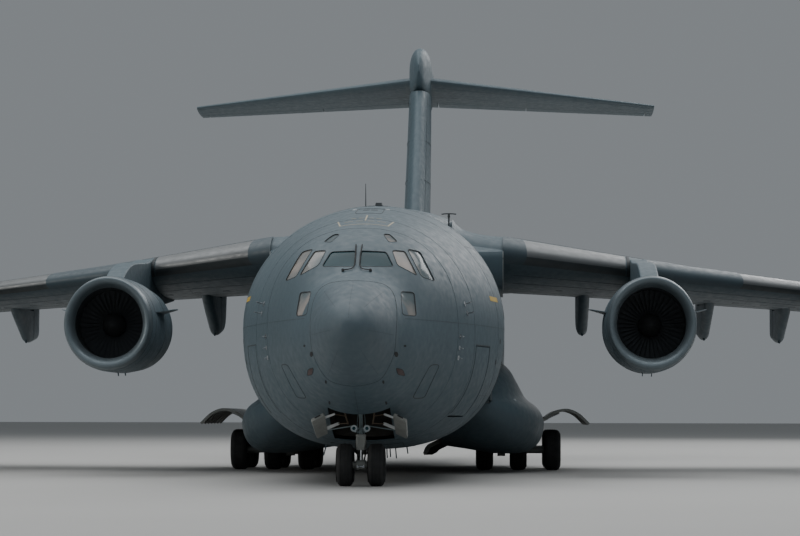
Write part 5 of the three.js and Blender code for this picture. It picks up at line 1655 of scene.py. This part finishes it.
# Nose gear: the part that steers, built round the leg's own line
NOSE_LINE = (0, NOSE_Y, 0)
AXLE_FITTING = [(-128, 400), (128, 400), (128, 560), (70, 625), (-70, 625), (-128, 560)]
steer = [prism("z", rounded(rectangle(-106, 106, -128, 128), 50), 862, 1236)]
steer += [spun("z", rectangle(112, 124, z, z + 26), steps=40, wrapped=True) for z in (884, 1196)]
steer.append(prism("x", rounded(AXLE_FITTING, 40), -118, 118))
links = [rod((-116, 300, 770), (116, 300, 770), 20, 16)]
for hand in SIDES:
    line = [(hand * 112, -20, 1180), (hand * 122, 20, 960), (hand * 96, 60, 760), (hand * 90, 30, 590)]
    steer.append(block((hand * 70 - 25, hand * 70 + 25), (-150, -120), (930, 1170)))
    steer.append(rod((hand * 88, -60, 860), (hand * 88, -60, 1236), 26, 16))
    links.append(hose([(hand * 62, 112, 566), (hand * 94, 298, 764)], 20, 10))
    links.append(hose([(hand * 94, 298, 776), (hand * 52, 112, 956)], 20, 10))
    links.append(hose(smooth_path(line), 9, 8))
tow = [rod((-95, -150, 470), (95, -150, 470), 24, 16)]
tow += [block((x - 14, x + 14), (-170, -100), (440, 500)) for x in (-70, 70)]
piston = rod((0, 0, 610), (0, 0, 866), 52, 40)
put("nose_collar", moved(steer, NOSE_LINE), "gear", "nose_steering", ["nose_steering"], bevel=7)
put("nose_piston", moved(piston, NOSE_LINE), "chrome", "nose_steering")
put("nose_torque_links", moved(links, NOSE_LINE), "brake", "nose_steering")
put("tow_fitting", moved(tow, NOSE_LINE), "steel", "nose_steering")

# Nose gear doors: skins with a raised rim, arms with round ends, and rods to the leg
CORNERS = ((820, 3960, 1735), (835, 5190, 1293), (1106, 5290, 1169), (1132, 3970, 1580))
DOOR_DEPTH = Vector((-20, 0, -45))


def door_point(s, t, depth):
    """A place on the door: s runs aft, t away from the hinge, and depth outwards through it."""
    a, b, c, d = (Vector(corner) for corner in CORNERS)
    near, far = a.lerp(b, s), d.lerp(c, s)
    return tuple(near.lerp(far, t) + DOOR_DEPTH * depth)


def door_loft(*rings, wrapped=False):
    """A shape through outlines on the door, each with its depth."""
    return loft([[door_point(s, t, depth) for s, t in outline] for outline, depth in rings], wrapped)


rim_outline = rounded(rectangle(0, 1, 0, 1), 0.09)
inner_outline = [(0.06 + 0.88 * s, 0.2 + 0.66 * t) for s, t in rim_outline]
panel = door_loft((rim_outline, 0.45), (rim_outline, 1.0))
rim = door_loft((rim_outline, 0.5), (rim_outline, -0.35), (inner_outline, -0.35), (inner_outline, 0.5),
                wrapped=True)
rib_outlines = [rectangle(s, s + 0.03, 0.15, 0.9) for s in (0.3, 0.52, 0.74)]
door_ribs = [door_loft((outline, 0.5), (outline, -0.2)) for outline in rib_outlines]
ARMS = rows_of("y x0 z0 x1 z1 half", [
    (4200, 905, 1600, 600, 1715, 26),
    (4950, 905, 1345, 555, 1490, 37),
])
arms = []
for arm in ARMS:
    tilt = math.atan2(arm["z1"] - arm["z0"], arm["x1"] - arm["x0"])
    capsule = []
    for cx, cz, turn in ((arm["x0"], arm["z0"], math.pi), (arm["x1"], arm["z1"], 0.0)):
        for angle in spaced(tilt + turn - math.pi / 2, tilt + turn + math.pi / 2, 8):
            capsule.append((cx + arm["half"] * math.cos(angle), cz + arm["half"] * math.sin(angle)))
    arms.append(prism("y", capsule, arm["y"] - 24, arm["y"] + 24))
    arms.append(rod((arm["x1"], arm["y"] - 38, arm["z1"]), (arm["x1"], arm["y"] + 38, arm["z1"]), 17, 20))
LEVER = [(290, 4600, 1490), (330, 4400, 1640), (350, 4300, 1750), (420, 4040, 2150)]
stays = [
    hose(smooth_path(LEVER, 4), 19, 10),
    hose([(600, 4200, 1715), (322, 4300, 1672)], 12, 10),
    hose([(555, 4950, 1490), (303, 4560, 1500)], 13, 10),
]
put_pair("nose_door_panel", [panel, rim, *door_ribs], "gear", replaces=["nose_door"], bevel=5)
put_pair("nose_door_arms", arms, "white", bevel=6)
put_pair("nose_door_stays", stays, "brown")
slot = rounded(rectangle(-0.012, 0.004, 0.3, 0.72), 0.006)
# slots in near black: painted shade in the openings
put_pair("nose_door_slots", door_loft((slot, 0.3), (slot, -0.2)), "dark")
corner = Vector(door_point(0.93, 0.1, -0.35))
door_rods = [
    hose([tuple(corner), (227, 4728, 1430), (150, 4732, 1392)], 14, 10),
    rod(tuple(corner - Vector((0, 34, 0))), tuple(corner + Vector((0, 34, 0))), 30, 20),
]
put_pair("nose_door_rods", door_rods, "strut")

# Main gear legs, each built round its own line
MAIN_FITTING = [(-205, 440), (205, 440), (205, 690), (120, 840), (-120, 840), (-205, 690)]
MAIN_TUBE = [(4, 1236), (172, 1236), (178, 1262), (162, 1290), (160, 1860), (186, 1900), (186, 1958),
             (4, 1958)]
MAIN_LINE = [(130, 60, 720), (150, 150, 980), (120, 120, 1300), (150, 100, 1780)]
MAIN_MIDDLE_Y = 24885
main_leg = [block((MAIN_LEG_X - 140, MAIN_LEG_X + 140), (23230, 26540), (1780, 1956))]
pistons, main_links = [], []
bore = rod((-300, 0, 635), (300, 0, 635), 96, 40)
fitting = carve(prism("x", rounded(MAIN_FITTING, 60), -126, 126), bore)
for _, y in MAIN_ROWS:
    here = (MAIN_LEG_X, y, 0)
    brace = rod((0, 0, 1340), (0, MAIN_MIDDLE_Y - y, 1840), 52, 20)
    main_leg.append(moved([fitting, spun("z", MAIN_TUBE, steps=40), brace], here))
    pistons.append(moved(rod((0, 0, 800), (0, 0, 1250), 96, 40), here))
    way = 1 if y < MAIN_MIDDLE_Y else -1
    for dx in (-62, 62):
        for path in ([(dx, -way * 150, 800), (dx / 2, -way * 330, 1040)],
                     [(dx / 2, -way * 330, 1050), (dx, -way * 150, 1290)]):
            main_links.append(moved(hose(path, 24, 12), here))
    main_links.append(moved(hose(smooth_path(MAIN_LINE), 14), here))
put_pair("main_legs", main_leg, "gear", replaces=["main_gear_legs"], bevel=8)
put_pair("main_pistons", pistons, "chrome")
put_pair("main_torque_links", main_links, "steel")

# Main gear doors
DOOR_ARC = [(4690, 1660), (4960, 1840), (5360, 1930), (5740, 1800), (6090, 1480)]
arc = flat_path(DOOR_ARC)


def arc_layer(top, bottom, y0, y1):
    """A layer of the arched door, between two depths under its outer face."""
    lines = []
    for depth in (top, bottom):
        line = []
        for i, (x, z) in enumerate(arc):
            ahead = Vector(arc[min(i + 1, len(arc) - 1)]) - Vector(arc[max(i - 1, 0)])
            normal = Vector((ahead.y, -ahead.x)).normalized()
            line.append((x + normal.x * depth, z + normal.y * depth))
        lines.append(line)
    return prism("y", lines[0] + lines[1][::-1], y0, y1)


outer = [arc_layer(0, 26, 22420, 27430)]
outer += [arc_layer(20, 84, y, y + 46) for y in (22420, 23250, 24080, 24900, 25730, 26560, 27384)]
BRACKET = [(4330, 1600), (4330, 1480), (4730, 1565), (4960, 1745), (4960, 1790), (4700, 1640)]
outer += [prism("y", BRACKET, *ends) for ends in ((22352, 22495), (27305, 27498))]
put_pair("outer_door", outer, "gear", replaces=["main_door_outer"], bevel=5)
put_pair("outer_door_lining", arc_layer(24, 36, 22440, 27410), "lining")
struts = []
for y in (23000, 26850):
    struts += [rod((4480, y, 1500), (5150, y, 1800), 30, 20), rod((4480, y, 1500), (4800, y, 1642), 44, 20)]
put_pair("outer_door_struts", struts, "steel")
INNER_LINE = [(2298, 1365), (1964, 1209), (1293, 936), (1039, 811), (950, 700), (892, 545)]
INNER_PANEL = [(930, 470), (1060, 560), (1120, 700), (1310, 800), (1980, 1075), (2310, 1225)]
INNER_DEEP = [(900, 540), (925, 480), (1186, 485), (1290, 590), (1839, 852), (2250, 1060), (2290, 1240),
              (1980, 1085), (1310, 810), (1110, 715), (1000, 700)]
inner_panel = carve(prism("y", INNER_LINE + INNER_PANEL, 22600, 27200), around_body)
inner_ribs = [prism("y", INNER_DEEP, y, y + 60) for y in (22630, 23400, 24300, 25200, 26100, 27110)]
put_pair("inner_door", inner_panel, "gear", replaces=["main_door_inner"], bevel=4)
put_pair("inner_door_ribs", inner_ribs, "dark", bevel=4)
inner_rods = [rod((2020, y, 1395), (1650, y, 985), 22, 16) for y in (23040, 24890, 26740)]
put_pair("inner_door_rods", inner_rods, "steel")

# Sponson lamps
put_pair("sponson_lamps", lamp_dome((3733, 18610, 2144), (0.5, -1, 0.25), 62, 40), "lens")

# Hold: frames, rails, rollers and seats, seen through the open ramp
HOLD_START, HOLD_END = 9900, 31500
frames = []
for y in range(HOLD_START + 300, HOLD_END, 1060):
    ring = body_ring(y, WALL + 2)
    normals = [(Vector((0, y, 4200)) - Vector(p)).normalized() for p in ring]
    frames.append(ribbon(ring, normals, 95, 70, 6, closed=True))
put("hold_frames", frames, "inside")
rails = []
for middle in (-1500, -420, 420, 1500):
    for left in (middle - 70, middle + 50):
        rails.append(block((left, left + 20), (HOLD_START, HOLD_END), (1625, 1668)))
    for y in range(HOLD_START + 100, HOLD_END, 430):
        rails.append(rod((middle - 52, y, 1655), (middle + 52, y, 1655), 22, 10))
put("hold_rollers", rails, "steel")
BENCH = {"x": 3010, "deep": 430, "thick": 60, "long": 520, "step": 620}
benches = []
for hand in SIDES:
    for y in range(HOLD_START + 1100, HOLD_END - 1000, BENCH["step"]):
        for outward_by, heights_of in ((-BENCH["deep"], (2060, 2120)), (BENCH["thick"], (2120, 2700))):
            sides = sorted((hand * BENCH["x"], hand * (BENCH["x"] + outward_by)))
            benches.append(block(sides, (y, y + BENCH["long"]), heights_of))
put("troop_seats", benches, "seat", bevel=22, segments=3)

# The two CAD solids that are shown as they are
for name in ("cargo_floor", "flight_deck"):
    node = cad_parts[name]
    if not node.material_slots:
        node.data.materials.append(MATERIALS["floor_paint"])
    for material_slot in node.material_slots:
        material_slot.material = MATERIALS["floor_paint"]

# Floor, light and camera
CAMERA = {"place": (1.7085, -39.665, 0.8115), "yaw": 2.473, "pitch": 3.57, "roll": 0.111, "lens": 108.35}


def stage_plane(name, corners, color):
    mesh = bpy.data.meshes.new(name)
    mesh.from_pydata(corners, [], [tuple(range(len(corners)))])
    material, tree, shader = new_material(name, color, 0.85)
    tint = mix(tree, noise(tree, 0.4, 5.0), color, tuple(0.94 * c for c in color))
    tree.links.new(tint, shader.inputs["Base Color"])
    mesh.materials.append(material)
    thing = bpy.data.objects.new(name, mesh)
    bpy.context.scene.collection.objects.link(thing)


FLOOR_REACH = 400
floor_corners = [(x, y, 0) for x, y in rectangle(-FLOOR_REACH, FLOOR_REACH, -FLOOR_REACH, FLOOR_REACH)]
stage_plane("studio_floor", floor_corners, (0.42, 0.42, 0.41))
world = bpy.data.worlds.new("studio")
world.use_nodes = True
world.node_tree.nodes["Background"].inputs["Color"].default_value = (0.76, 0.82, 0.87, 1)
world.node_tree.nodes["Background"].inputs["Strength"].default_value = 0.28
bpy.context.scene.world = world


def softbox(name, location, target, size, power, color=(1, 1, 1)):
    data = bpy.data.lights.new(name, "AREA")
    data.shape = "RECTANGLE"
    data.size, data.size_y = size
    data.energy = power
    data.color = color
    lamp = bpy.data.objects.new(name, data)
    lamp.location = location
    lamp.rotation_euler = (Vector(target) - Vector(location)).to_track_quat("-Z", "Y").to_euler()
    bpy.context.scene.collection.objects.link(lamp)


softbox("top_light", (0, 0, 36), (0, -1, 2), (60, 60), 19500)
softbox("front_light", (0, -52, 30), (0, -8, 3), (60, 24), 2600, (0.9, 0.96, 1))
softbox("left_light", (-44, -20, 14), (0, 0, 2), (24, 20), 4600, (1, 0.95, 0.88))
softbox("back_light", (24, 42, 26), (0, 4, 2), (30, 20), 7000)

yaw, pitch, roll = (math.radians(CAMERA[part]) for part in ("yaw", "pitch", "roll"))
ahead = Vector((-math.sin(yaw) * math.cos(pitch), math.cos(yaw) * math.cos(pitch), math.sin(pitch)))
right = Vector((math.cos(yaw), math.sin(yaw), 0))
upward = right.cross(ahead)
right, upward = (
    right * math.cos(roll) + upward * math.sin(roll),
    -right * math.sin(roll) + upward * math.cos(roll),
)
lens = bpy.data.cameras.new("camera")
lens.lens = CAMERA["lens"]
lens.sensor_width = 36
lens.sensor_fit = "HORIZONTAL"
lens.clip_end = 1000
camera = bpy.data.objects.new("camera", lens)
rotation = Matrix((right, upward, -ahead)).transposed().to_4x4()
camera.matrix_world = Matrix.Translation(CAMERA["place"]) @ rotation
bpy.context.scene.collection.objects.link(camera)
bpy.context.scene.camera = camera
